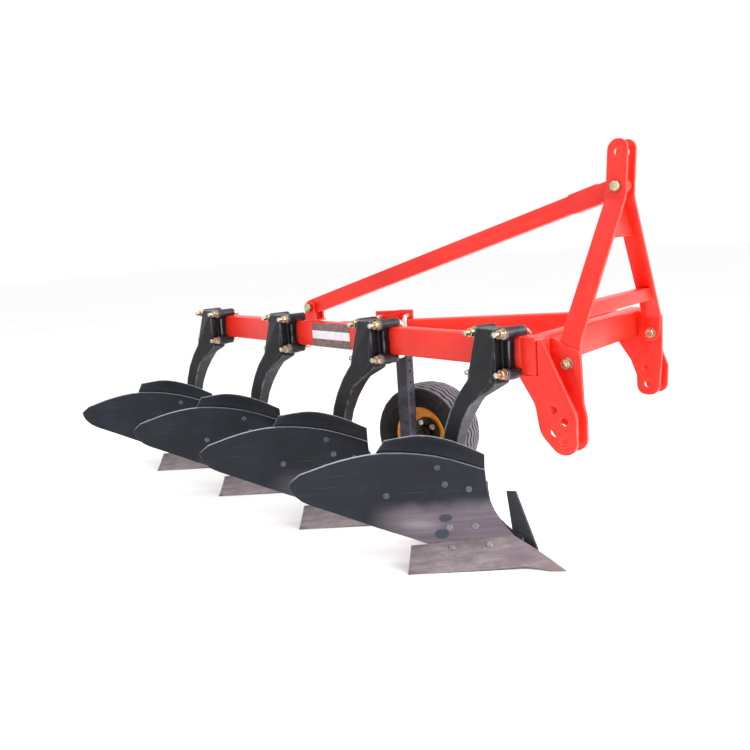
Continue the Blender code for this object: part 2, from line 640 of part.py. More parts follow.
def make_brace(root):
    """A rectangular tube from the mast to the lugs, with a round eye at each end."""
    foot = lug_pivot()
    head = Vector((mast_x(BRACE_BOLT_Z), MAST_CENTRE_Y, BRACE_BOLT_Z))
    run = head - foot
    slope = math.atan2(run.z, run.x)
    line = make_empty("brace_line", root, foot)
    line.rotation_euler = (0, -slope, 0)
    half_h, half_w = BRACE_HEIGHT / 2, BRACE_WIDTH / 2
    radius = BRACE_END_RADIUS
    outline = rounded_outline([(-half_h, -half_h, radius), (run.length + half_h, -half_h, radius),
                               (run.length + half_h, half_h, radius), (-half_h, half_h, radius)], 6)
    holes = [circle_points((x, 0), BRACE_BOLT_RADIUS + TOUCH, 16) for x in (0, run.length)]
    mesh = upright_plate_mesh("top_brace", outline, BRACE_WIDTH, -half_w, holes)
    make_object("top_brace", mesh, RED_PAINT, line)
    for name, place, reach in (("brace_front_bolt", head, TOP_LINK_GAP / 2 + MAST_BAR_THICKNESS + 0.016),
                               ("brace_rear_bolt", foot, half_w + LUG_THICKNESS + 0.015)):
        rod = cylinder_mesh(name, BRACE_BOLT_RADIUS, place - Vector((0, reach, 0)),
                            place + Vector((0, reach, 0)), 16)
        make_object(name, rod, ZINC, root)


# ---------------------------------------------------------------- soil surface
def guide_curve(z):
    """How far back from the share's edge the soil surface lies at a height."""
    if z <= GUIDE_HEIGHT:
        return GUIDE_REACH * (1 - (1 - z / GUIDE_HEIGHT) ** 3)
    rise = z - GUIDE_HEIGHT
    return GUIDE_REACH - GUIDE_CURL_RADIUS + math.sqrt(GUIDE_CURL_RADIUS ** 2 - rise ** 2)


def soil_point(along, z):
    """A point of the soil surface: level straight lines that turn outward with height."""
    turn = math.tan(TWIST_LIMIT * (1 - math.exp(-max(z, 0) / TWIST_HEIGHT)))
    across = guide_curve(z) - (along - GUIDE_PLACE) * turn
    return TIP + EDGE_ALONG * along + EDGE_ACROSS * across + Vector((0, 0, z))


def soil_normal(along, z):
    """The surface's normal, on the side that the soil touches."""
    small = 0.0005
    over = soil_point(along + small, z) - soil_point(along - small, z)
    rise = soil_point(along, z + small) - soil_point(along, z - small)
    return rise.cross(over).normalized()


def sample_smooth(points, count):
    """A Catmull-Rom curve through points, read at count + 1 even parameters."""
    points = [Vector(point) for point in points]
    ends = [points[0] * 2 - points[1], *points, points[-1] * 2 - points[-2]]
    found = []
    for i in range(count + 1):
        place = i / count * (len(points) - 1)
        k = min(int(place), len(points) - 2)
        t = place - k
        a, b, c, d = ends[k:k + 4]
        found.append(0.5 * (2 * b + (c - a) * t + (2 * a - 5 * b + 4 * c - d) * t * t
                            + (3 * b - a - 3 * c + d) * t ** 3))
    return found


def sample_straight(first, last, count):
    first, last = Vector(first), Vector(last)
    return [first.lerp(last, i / count) for i in range(count + 1)]


def coons_patch(bottom, top, front, rear):
    """Rows of (along, height) inside four edges. front and rear run upward."""
    across, up = len(bottom) - 1, len(front) - 1
    rows = []
    for j in range(up + 1):
        v = j / up
        row = []
        for i in range(across + 1):
            u = i / across
            ruled = bottom[i] * (1 - v) + top[i] * v + front[j] * (1 - u) + rear[j] * u
            corners = (bottom[0] * (1 - u) + bottom[-1] * u) * (1 - v) + (top[0] * (1 - u) + top[-1] * u) * v
            row.append(ruled - corners)
        rows.append(row)
    return rows


def patch_mesh(name, rows, setback):
    """A grid laid on the soil surface, set back from it along its normal."""
    shape = bmesh.new()
    bmesh.ops.create_grid(shape, x_segments=len(rows[0]) - 1, y_segments=len(rows) - 1, size=1)
    places = [place for row in rows for place in row]
    for vert, place in zip(shape.verts, places):
        vert.co = soil_point(*place) - soil_normal(*place) * setback
    bmesh.ops.recalc_face_normals(shape, faces=shape.faces)
    shape.faces.ensure_lookup_table()
    if shape.faces[0].normal.dot(soil_normal(*places[0])) < 0:
        bmesh.ops.reverse_faces(shape, faces=shape.faces)
    mesh = mesh_of(name, shape)
    mesh.shade_smooth()
    return mesh


def solid_patch(name, rows, setback, thickness, material, parent):
    """A shell behind the soil surface."""
    obj = make_object(name, patch_mesh(name, rows, setback), material, parent)
    modifier = obj.modifiers.new("thickness", "SOLIDIFY")
    modifier.thickness = thickness
    modifier.offset = -1
    modifier.use_even_offset = True
    return obj


def share_rows():
    """The share below the seam. Its lower edge rises a little behind the nose."""
    seam = SEAM_GAP
    lower = [Vector(place) for place in SHARE_NOSE] + sample_straight(SHARE_NOSE[-1], SHARE_WING[0], 5)[1:]
    count = len(lower) - 1
    upper = sample_straight(SHARE_SEAM_START, SHARE_WING[1], count)
    upper = [place - Vector((0, seam)) for place in upper]
    front = sample_straight(lower[0], upper[0], 3)
    rear = sample_straight(lower[-1], upper[-1], 3)
    return coons_patch(lower, upper, front, rear)


def board_rows():
    foot = sample_straight(SHARE_SEAM_START, BOARD_FOOT_CORNER, 5) + sample_smooth(BOARD_FOOT, 7)[1:]
    top = sample_smooth(BOARD_TOP, len(foot) - 1)
    front = sample_smooth(BOARD_SHIN, 8)
    rear = sample_smooth(BOARD_WING[:-1], 6) + sample_straight(BOARD_WING[-2], BOARD_WING[-1], 2)[1:]
    return coons_patch(foot, top, front, rear)


def flap_rows():
    """The trash board: it stands behind the mouldboard's top edge."""
    lower = sample_smooth([FLAP_FRONT[0], FLAP_FOOT_MIDDLE, FLAP_REAR[0]], 12)
    upper = sample_smooth(FLAP_TOP, 12)
    front = sample_straight(FLAP_FRONT[0], FLAP_FRONT[1], 5)
    rear = sample_straight(FLAP_REAR[0], FLAP_REAR[1], 5)
    return coons_patch(lower, upper, front, rear)


def frog_rows():
    lower = sample_straight((FROG_FRONT - 0.030, FROG_BOTTOM_Z), (FROG_REAR, FROG_BOTTOM_Z + 0.012), 4)
    upper = sample_straight((FROG_FRONT + 0.035, FROG_TOP_Z - 0.06), (FROG_REAR, FROG_TOP_Z), 4)
    front = sample_straight(lower[0], upper[0], 6)
    rear = sample_straight(lower[-1], upper[-1], 6)
    return coons_patch(lower, upper, front, rear)


def make_body_meshes():
    """Share, mouldboard and trash board, made once and copied to each bottom."""
    return {"share": (patch_mesh("share", share_rows(), 0), BOARD_THICKNESS, SHARE_STEEL),
            "mouldboard": (patch_mesh("mouldboard", board_rows(), 0), BOARD_THICKNESS, BOARD_PAINT),
            "trash_board": (patch_mesh("trash_board", flap_rows(), BOARD_THICKNESS + SHELL_GAP),
                            FLAP_THICKNESS, BOARD_PAINT)}


def ground_cutter(root):
    mesh = box_mesh("below_ground", (-3.5, -1.5, -0.2), (1.0, 2.5, 0.0))
    return as_cutter(make_object("below_ground", mesh, None, root))


# ---------------------------------------------------------------- shank
def head_meshes():
    """The clamp head in the beam's frame: trunk, plate, four bosses and a lip."""
    near = BEAM_RIGHT_FACE
    half_h = BEAM_HEIGHT / 2 + HEAD_RISE
    plate = box_mesh("head_plate", (-HEAD_PLATE_WIDTH / 2, near - HEAD_PLATE_DEPTH, -half_h),
                     (HEAD_PLATE_WIDTH / 2, near - TOUCH, half_h - 0.006))
    rear = HEAD_TRUNK_SHIFT - HEAD_TRUNK_WIDTH / 2
    front = HEAD_TRUNK_SHIFT + HEAD_TRUNK_WIDTH / 2
    trunk = box_mesh("head_trunk", (rear, near - HEAD_TRUNK_DEPTH, -half_h - HEAD_TRUNK_DROP),
                     (front, near - TOUCH - 0.002, half_h - 0.004))
    lip = box_mesh("head_lip", (-HEAD_LIP_WIDTH / 2, near - 0.011, -half_h + 0.0017),
                   (HEAD_LIP_WIDTH / 2, near + LIP_LAP, -BEAM_HEIGHT / 2 - TOUCH))
    meshes = [trunk, lip]
    for side in (-1, 1):
        for height, lap in ((U_BOLT_HALF_HEIGHT, BOSS_LAP), (-U_BOLT_HALF_HEIGHT, LIP_LAP)):
            x = side * U_BOLT_SPACING / 2
            meshes.append(cylinder_mesh("boss", BOSS_RADIUS, (x, near - BOSS_DEPTH, height),
                                        (x, near + lap, height), 16))
    return plate, meshes


def arm_mesh():
    """The curved arm: an arc in the XZ plane, thick under the head and thinner at its foot."""
    sections = []
    steps = 9
    for i in range(steps + 1):
        angle = ARM_TOP_ANGLE + (ARM_FOOT_ANGLE - ARM_TOP_ANGLE) * i / steps
        share = min(max((ARM_TOP_ANGLE - angle) / (ARM_TOP_ANGLE - ARM_TAPER_ANGLE), 0), 1)
        thickness = ARM_TOP_THICKNESS + (ARM_FOOT_THICKNESS - ARM_TOP_THICKNESS) * share
        section = []
        for radius, y in ((ARM_OUTER_RADIUS, 0), (ARM_INNER_RADIUS, 0),
                          (ARM_INNER_RADIUS, thickness), (ARM_OUTER_RADIUS, thickness)):
            x = ARM_CENTRE_X - radius * math.cos(angle)
            z = ARM_CENTRE_Z + radius * math.sin(angle)
            section.append((x, ARM_RIGHT_Y + y, z))
        sections.append(section)
    return loft_mesh("arm", sections)


def frog_block_mesh():
    """The block between the arm's foot and the back of the board. Its left face takes the landside."""
    left = LANDSIDE_RIGHT_Y - TOUCH
    return box_mesh("frog_block", (FROG_BLOCK_REAR_X, ARM_RIGHT_Y + 0.002, 0.020), (0.06, left, 0.240))


def soil_side_cutter(root):
    """Everything in front of the board's back face, as one thick shell."""
    lower = sample_straight((0.02, -0.012), (0.62, -0.012), 10)
    upper = sample_straight((0.02, 0.400), (0.62, 0.400), 10)
    front = sample_straight(lower[0], upper[0], 24)
    rear = sample_straight(lower[-1], upper[-1], 24)
    rows = coons_patch(lower, upper, front, rear)
    back = BOARD_THICKNESS + SHELL_GAP
    shape = bmesh.new()
    inner = [[soil_point(*place) - soil_normal(*place) * back for place in row] for row in rows]
    push = -EDGE_ACROSS * 0.45
    layers = [[[shape.verts.new(point + shift) for point in row] for row in inner]
              for shift in (Vector((0, 0, 0)), push)]
    up, across = len(rows), len(rows[0])
    for layer in layers:
        for j in range(up - 1):
            for i in range(across - 1):
                shape.faces.new((layer[j][i], layer[j][i + 1], layer[j + 1][i + 1], layer[j + 1][i]))
    rim = ([(0, i) for i in range(across)] + [(j, across - 1) for j in range(1, up)]
           + [(up - 1, i) for i in range(across - 2, -1, -1)] + [(j, 0) for j in range(up - 2, 0, -1)])
    for (j, i), (m, n) in zip(rim, rim[1:] + rim[:1]):
        shape.faces.new((layers[0][j][i], layers[0][m][n], layers[1][m][n], layers[1][j][i]))
    bmesh.ops.recalc_face_normals(shape, faces=shape.faces)
    return as_cutter(make_object("soil_side", mesh_of("soil_side", shape), None, root))


def make_shank(index, line, soil_side):
    """Head, arm and frog joined into one casting."""
    body = bpy.data.objects[f"bottom_{index}"]
    clamp = make_empty(f"clamp_{index}", line, (-(index - 1) * BODY_SPACING, 0, 0))
    arm = make_object(f"shank_{index}", arm_mesh(), CAST_BLACK, body)
    plate, others = head_meshes()
    pieces = [(make_object(f"head_plate_{index}", plate, None, clamp), "UNION")]
    pieces += [(make_object(f"head_piece_{index}", mesh, None, clamp), "UNION") for mesh in others]
    pieces.append((make_object(f"frog_block_{index}", frog_block_mesh(), None, body), "UNION"))
    frog = solid_patch(f"frog_plate_{index}", frog_rows(), BOARD_THICKNESS, FROG_THICKNESS, None, body)
    pieces.append((frog, "UNION"))
    low = (-0.5, BEAM_RIGHT_FACE - TOUCH, -BEAM_HEIGHT / 2 - TOUCH)
    high = (0.5, BEAM_LEFT_FACE + TOUCH, BEAM_HEIGHT / 2 + TOUCH)
    beam_space = make_object(f"beam_space_{index}", box_mesh("beam_space", low, high), None, clamp)
    pieces.append((beam_space, "DIFFERENCE"))
    rods = []
    for x in (-U_BOLT_SPACING / 2, U_BOLT_SPACING / 2):
        for z in (-U_BOLT_HALF_HEIGHT, U_BOLT_HALF_HEIGHT):
            rods.append(cylinder_mesh("rod", U_BOLT_RADIUS + TOUCH, (x, -0.2, z), (x, 0.1, z), 12))
    pieces.append((make_object(f"rod_holes_{index}", join_meshes("rods", rods), None, clamp), "DIFFERENCE"))
    for piece, operation in pieces:
        add_boolean(arm, as_cutter(piece), operation)
    cut = as_cutter(make_object(f"soil_side_{index}", soil_side.data, None, body))
    add_boolean(arm, cut, "DIFFERENCE")
    return clamp


def make_u_bolts(index, clamp):
    """Each one goes round the beam's far side, and its two ends come out through the bosses."""
    near = BEAM_RIGHT_FACE - U_BOLT_REACH
    far = BEAM_LEFT_FACE + U_BOLT_FAR
    z = U_BOLT_HALF_HEIGHT
    bend = U_BOLT_BEND_RADIUS
    for name, side in (("rear", -1), ("front", 1)):
        x = side * U_BOLT_SPACING / 2
        path = [(x, near, z)]
        for corner, first in (((far - bend, z - bend), 90), ((far - bend, bend - z), 0)):
            for step in range(4):
                angle = math.radians(first - 30 * step)
                path.append((x, corner[0] + bend * math.cos(angle), corner[1] + bend * math.sin(angle)))
        path.append((x, near, -z))
        rod_object(f"u_bolt_{index}_{name}", path, U_BOLT_RADIUS, ZINC, clamp)


# ---------------------------------------------------------------- bottoms
def make_bottom(index, meshes, ground):
    body = bpy.data.objects[f"bottom_{index}"]
    for part, (mesh, thickness, material) in meshes.items():
        obj = make_object(f"{part}_{index}", mesh.copy(), material, body)
        modifier = obj.modifiers.new("thickness", "SOLIDIFY")
        modifier.thickness = thickness
        modifier.offset = -1
        modifier.use_even_offset = True
        if part == "share":
            add_boolean(obj, ground, "DIFFERENCE")
    outline = [(LANDSIDE_REAR_X, 0.0), *KNIFE, (LANDSIDE_REAR_X, LANDSIDE_HEIGHT)]
    mesh = upright_plate_mesh("landside", outline, LANDSIDE_THICKNESS, LANDSIDE_RIGHT_Y)
    make_object(f"landside_{index}", mesh, BOARD_PAINT, body)


# ---------------------------------------------------------------- gauge wheel
def make_wheel_bracket(root):
    """A plate on the left beam's left face, with a square sleeve for the leg, held by two U-bolts."""
    face_y = left_beam_y(LEG_X, 0)
    line = make_empty("left_beam_line", root, (LEG_X, face_y, BEAM_Z), LEFT_BEAM_ANGLE)
    half_h = BEAM_HEIGHT / 2 + WHEEL_PLATE_RISE
    half_l = WHEEL_PLATE_LENGTH / 2
    outer_face = TOUCH + WHEEL_PLATE_THICKNESS
    plate = box_mesh("wheel_plate", (-half_l, TOUCH, -half_h), (half_l, outer_face, half_h))
    bracket = make_object("wheel_bracket", plate, RED_PAINT, line)
    half = LEG_SIZE / 2 + SLEEVE_CLEARANCE
    outer = half + SLEEVE_WALL
    half_s = SLEEVE_HEIGHT / 2
    sleeve = box_mesh("sleeve", (LEG_X - outer, LEG_Y - outer - SLEEVE_FILLER, BEAM_Z - half_s),
                      (LEG_X + outer, LEG_Y + outer, BEAM_Z + half_s))
    add_boolean(bracket, as_cutter(make_object("sleeve", sleeve, None, root)), "UNION")
    bore = box_mesh("leg_space", (LEG_X - half, LEG_Y - half, 0.3), (LEG_X + half, LEG_Y + half, 1.0))
    add_boolean(bracket, as_cutter(make_object("leg_space", bore, None, root)), "DIFFERENCE")
    beam = box_mesh("beam_side", (-0.5, -0.2, -0.3), (0.5, TOUCH, 0.3))
    add_boolean(bracket, as_cutter(make_object("beam_side", beam, None, line)), "DIFFERENCE")
    z = BEAM_HEIGHT / 2 + U_BOLT_RISE
    rods = []
    for x in (-WHEEL_U_BOLT_SPACING / 2, WHEEL_U_BOLT_SPACING / 2):
        for height in (-z, z):
            rods.append(cylinder_mesh("rod", U_BOLT_RADIUS + TOUCH, (x, -0.1, height), (x, 0.1, height), 12))
    add_boolean(bracket, as_cutter(make_object("wheel_rod_holes", join_meshes("rods", rods), None, line)),
                "DIFFERENCE")
    reach = TOUCH + WHEEL_PLATE_THICKNESS + 0.030
    far = -BEAM_WIDTH - U_BOLT_FAR
    bend = U_BOLT_BEND_RADIUS
    for name, side in (("rear", -1), ("front", 1)):
        x = side * WHEEL_U_BOLT_SPACING / 2
        path = [(x, reach, z)]
        for corner, first in (((far + bend, z - bend), 90), ((far + bend, bend - z), 180)):
            for step in range(4):
                angle = math.radians(first + 30 * step)
                path.append((x, corner[0] + bend * math.cos(angle), corner[1] + bend * math.sin(angle)))
        path.append((x, reach, -z))
        rod_object(f"wheel_u_bolt_{name}", path, U_BOLT_RADIUS, ZINC, line)


def make_wheel_leg(root):
    """The square leg slides in its sleeve, and its stub axle carries the wheel."""
    half = LEG_SIZE / 2
    leg_line = make_empty("wheel_leg_line", root, (LEG_X, LEG_Y, 0))
    mesh = box_mesh("wheel_leg", (-half, -half, LEG_BOTTOM_Z), (half, half, LEG_TOP_Z))
    leg = make_object("wheel_leg", mesh, LEG_STEEL, leg_line)
    holes = []
    for i in range(LEG_HOLE_COUNT):
        z = LEG_HOLE_FIRST_Z + i * LEG_HOLE_PITCH
        holes.append(cylinder_mesh("hole", LEG_HOLE_RADIUS, (-0.1, 0, z), (0.1, 0, z), 12))
    add_boolean(leg, as_cutter(make_object("leg_holes", join_meshes("holes", holes), None, leg_line)),
                "DIFFERENCE")
    start = LEG_Y + half + TOUCH
    axle_end = WHEEL_Y + HUB_LENGTH / 2 + 0.012
    axle = cylinder_mesh("wheel_axle", AXLE_RADIUS, (0, start - WHEEL_Y, 0), (0, axle_end - WHEEL_Y, 0), 24)
    make_object("wheel_axle", axle, LEG_STEEL, root, (WHEEL_X, WHEEL_Y, WHEEL_RADIUS))


def tyre_profile():
    """Tread, sidewalls and beads, run down the outer side first, then back up the inside."""
    half = WHEEL_WIDTH / 2
    bead = RIM_SEAT_RADIUS + TOUCH
    bead_y = RIM_WIDTH / 2 - RIM_THICKNESS - TOUCH
    above_flange = RIM_FLANGE_RADIUS + 0.003
    outer = [(bead, bead_y), (above_flange, bead_y), (0.140, half * 0.94), (0.162, half),
             (0.186, half * 0.97), (0.202, half * 0.86), (WHEEL_RADIUS, half * 0.55)]
    inner = [(WHEEL_RADIUS - TYRE_WALL * 1.2, half * 0.58), (0.186, half * 0.80), (0.162, half - TYRE_WALL),
             (0.142, half * 0.94 - TYRE_WALL), (bead, bead_y - TYRE_WALL)]
    ring = outer + [(radius, -y) for radius, y in outer[::-1]]
    return ring + [(radius, -y) for radius, y in inner[::-1]] + inner


def rim_profile():
    """The barrel with two flanges and one disc, down to the hub."""
    half = RIM_WIDTH / 2
    under = RIM_SEAT_RADIUS - RIM_THICKNESS
    disc_y = -0.012
    half_disc = 0.003
    bore = HUB_RADIUS + TOUCH
    return [(RIM_FLANGE_RADIUS, half), (RIM_FLANGE_RADIUS, half - RIM_THICKNESS),
            (RIM_SEAT_RADIUS, half - RIM_THICKNESS), (RIM_SEAT_RADIUS, RIM_THICKNESS - half),
            (RIM_FLANGE_RADIUS, RIM_THICKNESS - half), (RIM_FLANGE_RADIUS, -half), (under, -half),
            (under, disc_y - half_disc), (bore, disc_y - half_disc), (bore, disc_y + half_disc),
            (under, disc_y + half_disc), (under, half)]


def make_wheel(root):
    centre = (WHEEL_X, WHEEL_Y, WHEEL_RADIUS)
    turned_object("tyre", tyre_profile(), RUBBER, root, centre)
    turned_object("wheel_rim", rim_profile(), RIM_PAINT, root, centre)
    half = HUB_LENGTH / 2
    bore = AXLE_RADIUS + AXLE_CLEARANCE
    hub = [(HUB_RADIUS, half * 0.8), (HUB_RADIUS, -half * 0.8), (HUB_RADIUS - 0.008, -half), (bore, -half),
           (bore, half), (HUB_RADIUS - 0.008, half)]
    turned_object("wheel_hub", hub, CAST_BLACK, root, centre, 24)


# ---------------------------------------------------------------- whole plough
def centre_on_base(root):
    """Move the root so that the origin is the middle of the plough's base."""
    bpy.context.view_layer.update()
    graph = bpy.context.evaluated_depsgraph_get()
    points = []
    for obj in PARTS.objects:
        if obj.type in ("MESH", "CURVE"):
            evaluated = obj.evaluated_get(graph)
            mesh = evaluated.to_mesh()
            points += [evaluated.matrix_world @ vert.co for vert in mesh.vertices]
            evaluated.to_mesh_clear()
    low = Vector([min(point[i] for point in points) for i in range(3)])
    high = Vector([max(point[i] for point in points) for i in range(3)])
    root.location = (-(low.x + high.x) / 2, -(low.y + high.y) / 2, -low.z)


def build():
    clear_scene()
    root = make_empty("plough_root", None)
    line = beam_frame(root)
    make_diagonal_beam(line)
    make_cross_beam(root)
    make_left_beam(root)
    make_hitch_plates(root)
    make_mast_bars(root)
    make_mast_ties(root)
    make_brace_bracket(root)
    make_brace(root)
    ground = ground_cutter(root)
    soil_side = soil_side_cutter(root)
    meshes = make_body_meshes()
    for index in range(1, BODY_COUNT + 1):
        make_empty(f"bottom_{index}", root, STEP * (index - 1))
        clamp = make_shank(index, line, soil_side)
        make_u_bolts(index, clamp)
        make_bottom(index, meshes, ground)
    make_wheel_bracket(root)
    make_wheel_leg(root)
    make_wheel(root)
    centre_on_base(root)


build()
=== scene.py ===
"""Looks of a four-furrow mounted mouldboard plough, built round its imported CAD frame."""

import json
import math

import bpy
from mathutils import Matrix, Vector


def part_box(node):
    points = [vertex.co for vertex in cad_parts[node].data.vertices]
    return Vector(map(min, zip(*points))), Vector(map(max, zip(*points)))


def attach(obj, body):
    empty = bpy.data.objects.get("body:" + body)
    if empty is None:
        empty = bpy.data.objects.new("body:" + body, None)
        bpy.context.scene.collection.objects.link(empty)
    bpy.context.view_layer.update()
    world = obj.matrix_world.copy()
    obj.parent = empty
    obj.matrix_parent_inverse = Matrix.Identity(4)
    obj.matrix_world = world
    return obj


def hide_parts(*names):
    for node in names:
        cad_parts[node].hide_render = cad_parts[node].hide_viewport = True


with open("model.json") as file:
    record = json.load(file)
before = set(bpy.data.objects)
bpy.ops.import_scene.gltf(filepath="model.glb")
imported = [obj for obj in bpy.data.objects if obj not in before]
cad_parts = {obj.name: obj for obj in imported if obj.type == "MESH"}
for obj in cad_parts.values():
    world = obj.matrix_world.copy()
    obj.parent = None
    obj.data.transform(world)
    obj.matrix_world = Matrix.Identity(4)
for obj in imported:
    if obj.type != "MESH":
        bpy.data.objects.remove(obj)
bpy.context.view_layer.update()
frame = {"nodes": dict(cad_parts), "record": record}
NODES = frame["nodes"]
BODY_OF = {name: body for body, names in frame["record"]["behaviour"]["bodies"].items() for name in names}

# ---------------------------------------------------------------- places, in metres
WHEEL = (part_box("tyre")[0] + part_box("tyre")[1]) / 2
ORIGIN = WHEEL - Vector((-0.714, 0.618, 0.212))  # where the drawing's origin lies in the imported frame
FRAME_Z = 0.662  # mid-height of the frame tubes
BEAM_TURN = math.radians(19.16)  # the diagonal beam, off the direction of travel
BEAM_FORWARD = Vector((math.cos(BEAM_TURN), -math.sin(BEAM_TURN), 0))
BEAM_LEFT = Vector((math.sin(BEAM_TURN), math.cos(BEAM_TURN), 0))
LEFT_BEAM_TURN = math.radians(20.9)
LEFT_BEAM_LEFT = Vector((-math.sin(LEFT_BEAM_TURN), math.cos(LEFT_BEAM_TURN), 0))
BODY_COUNT = 4
BODY_SPACING = 0.650
BODY_STEP = -BODY_SPACING * BEAM_FORWARD
CLAMP_HALF_SPACING = 0.0665
CLAMP_HALF_HEIGHT = 0.0625
UP = Vector((0, 0, 1))
MAST_MIDDLE_Y = ORIGIN.y + 0.371
SIDES = (("right", -1), ("left", 1))
ENDS = (("front", 1), ("rear", -1))
LEVELS = (("upper", 1), ("lower", -1))

# Along the furrow slice: sideways from the share's point, and square to the cutting edge.
SHARE_POINT = ORIGIN + Vector((0.234, -0.138, 0))
SLICE_TURN = math.radians(28)
SLICE = Vector((-math.cos(SLICE_TURN), -math.sin(SLICE_TURN), 0))
SLICE_BACK = Vector((-math.sin(SLICE_TURN), math.cos(SLICE_TURN), 0))


def beam_place(along, left, height=FRAME_Z):
    """A point given along the diagonal beam, to its left, and above the furrow bottom."""
    return ORIGIN + along * BEAM_FORWARD + left * BEAM_LEFT + height * UP


# ---------------------------------------------------------------- material helpers
def linear(shade):
    """An sRGB hex colour as the linear colour that a shader takes."""
    parts = [int(shade[i:i + 2], 16) / 255 for i in (1, 3, 5)]
    return tuple(v / 12.92 if v <= 0.04045 else ((v + 0.055) / 1.055) ** 2.4 for v in parts) + (1.0,)


def put(tree, kind, sockets=None, stops=None, **settings):
    """Adds a node, with its settings, its socket values or links, and a ramp's stops."""
    node = tree.nodes.new("ShaderNode" + kind)
    for name, value in settings.items():
        setattr(node, name, value)
    for key, value in (sockets or {}).items():
        if isinstance(value, bpy.types.NodeSocket):
            tree.links.new(value, node.inputs[key])
        else:
            node.inputs[key].default_value = value
    if stops:
        ramp = node.color_ramp.elements
        ramp[0].position, ramp[0].color = stops[0]
        ramp[1].position, ramp[1].color = stops[-1]
        for place, shade in stops[1:-1]:
            ramp.new(place).color = shade
    return node


def new_finish(name, **constants):
    """A material with a Principled shader, and the object coordinates that its patterns read."""
    finish = bpy.data.materials.new(name)
    finish.use_nodes = True
    tree = finish.node_tree
    tree.nodes.clear()
    values = {key.replace("_", " "): value for key, value in constants.items()}
    shader = put(tree, "BsdfPrincipled", values)
    put(tree, "OutputMaterial", {"Surface": shader.outputs["BSDF"]})
    return finish, tree, shader, put(tree, "TexCoord").outputs["Object"]


def edge_wear_and_highlight(tree, place, reach, thin=0.93):
    """1 along outer edges, broken up by a fine noise: bright wear from rubbing, and on the red enamel a
    painted highlight.
    """
    rounded = put(tree, "Bevel", {"Radius": reach}, samples=4)
    face = put(tree, "NewGeometry")
    turn = put(tree, "VectorMath", {0: rounded.outputs[0], 1: face.outputs["Normal"]},
               operation="DOT_PRODUCT")
    mask = put(tree, "MapRange", {"Value": turn.outputs["Value"], "From Min": 0.995, "From Max": thin})
    patchy = put(tree, "TexNoise", {"Vector": place, "Scale": 45.0, "Detail": 4.0})
    broken = put(tree, "MapRange", {"Value": patchy.outputs["Fac"], "From Min": 0.30, "From Max": 0.55})
    return put(tree, "Math", {0: mask.outputs[0], 1: broken.outputs[0]}, operation="MULTIPLY").outputs[0]


def blend_colour(tree, share, first, second):
    return put(tree, "Mix", {0: share, 6: first, 7: second}, data_type="RGBA").outputs[2]


# ---------------------------------------------------------------- finishes
def red_stove_enamel():
    """Sprayed and baked gloss red over welded section: bright, faintly uneven, painted pink highlight on
    edges.
    """
    finish, tree, shader, place = new_finish(
        "red_stove_enamel_sprayed", Specular_IOR_Level=0.45)
    broad = put(tree, "TexNoise", {"Vector": place, "Scale": 5.0, "Detail": 3.0})
    body = put(tree, "ValToRGB", {"Fac": broad.outputs["Fac"]},
               stops=[(0.30, linear("#E01C0C")), (0.52, linear("#EA2513")), (0.75, linear("#F2301E"))])
    dust = put(tree, "TexNoise", {"Vector": place, "Scale": 26.0, "Detail": 8.0, "Roughness": 0.7})
    lightening = put(tree, "MapRange", {"Value": dust.outputs["Fac"], "From Min": 0.58, "From Max": 0.78,
                                   "To Max": 0.12})
    dusted = blend_colour(tree, lightening.outputs[0], body.outputs["Color"], linear("#F08C7E"))
    # Painted highlight: a pale pink line along the outer edges, where rounded edges catch the light.
    edges = edge_wear_and_highlight(tree, place, 0.0025)
    painted_edge_highlight = put(tree, "Math", {0: edges, 1: 0.70}, operation="MULTIPLY")
    coloured = blend_colour(tree, painted_edge_highlight.outputs[0], dusted, linear("#FF9C90"))
    chips = put(tree, "TexVoronoi", {"Vector": place, "Scale": 30.0, "Randomness": 1.0})
    chip = put(tree, "MapRange", {"Value": chips.outputs["Distance"], "From Min": 0.075, "From Max": 0.045})
    where = put(tree, "TexNoise", {"Vector": place, "Scale": 3.0, "Detail": 2.0})
    rare = put(tree, "MapRange", {"Value": where.outputs["Fac"], "From Min": 0.56, "From Max": 0.66})
    chipped = put(tree, "Math", {0: chip.outputs[0], 1: rare.outputs[0]}, operation="MULTIPLY")
    final = blend_colour(tree, chipped.outputs[0], coloured, linear("#7A2A22"))
    tree.links.new(final, shader.inputs["Base Color"])
    rough = put(tree, "MapRange", {"Value": dust.outputs["Fac"], "To Min": 0.24, "To Max": 0.46})
    tree.links.new(rough.outputs[0], shader.inputs["Roughness"])
    # Orange peel of a sprayed coat, drawn coarser than the real 1 mm so that it shows.
    peel = put(tree, "TexNoise", {"Vector": place, "Scale": 160.0, "Detail": 2.0})
    bump = put(tree, "Bump", {"Height": peel.outputs["Fac"], "Strength": 0.12, "Distance": 0.0006})
    sag = put(tree, "Bump", {"Height": broad.outputs["Fac"], "Strength": 0.12, "Distance": 0.004,
                             "Normal": bump.outputs[0]})
    tree.links.new(sag.outputs[0], shader.inputs["Normal"])
    return finish


def slice_place(tree, place, index):
    """Object coordinates turned to run along the slice from this bottom's own share point."""
    start = SHARE_POINT + index * BODY_STEP
    shifted = put(tree, "VectorMath", {0: place, 1: -start}, operation="ADD").outputs[0]
    along = put(tree, "VectorMath", {0: shifted, 1: SLICE}, operation="DOT_PRODUCT").outputs["Value"]
    height = put(tree, "SeparateXYZ", {"Vector": shifted}).outputs["Z"]
    flat = put(tree, "CombineXYZ", {"X": along, "Y": height}).outputs[0]
    return along, height, flat


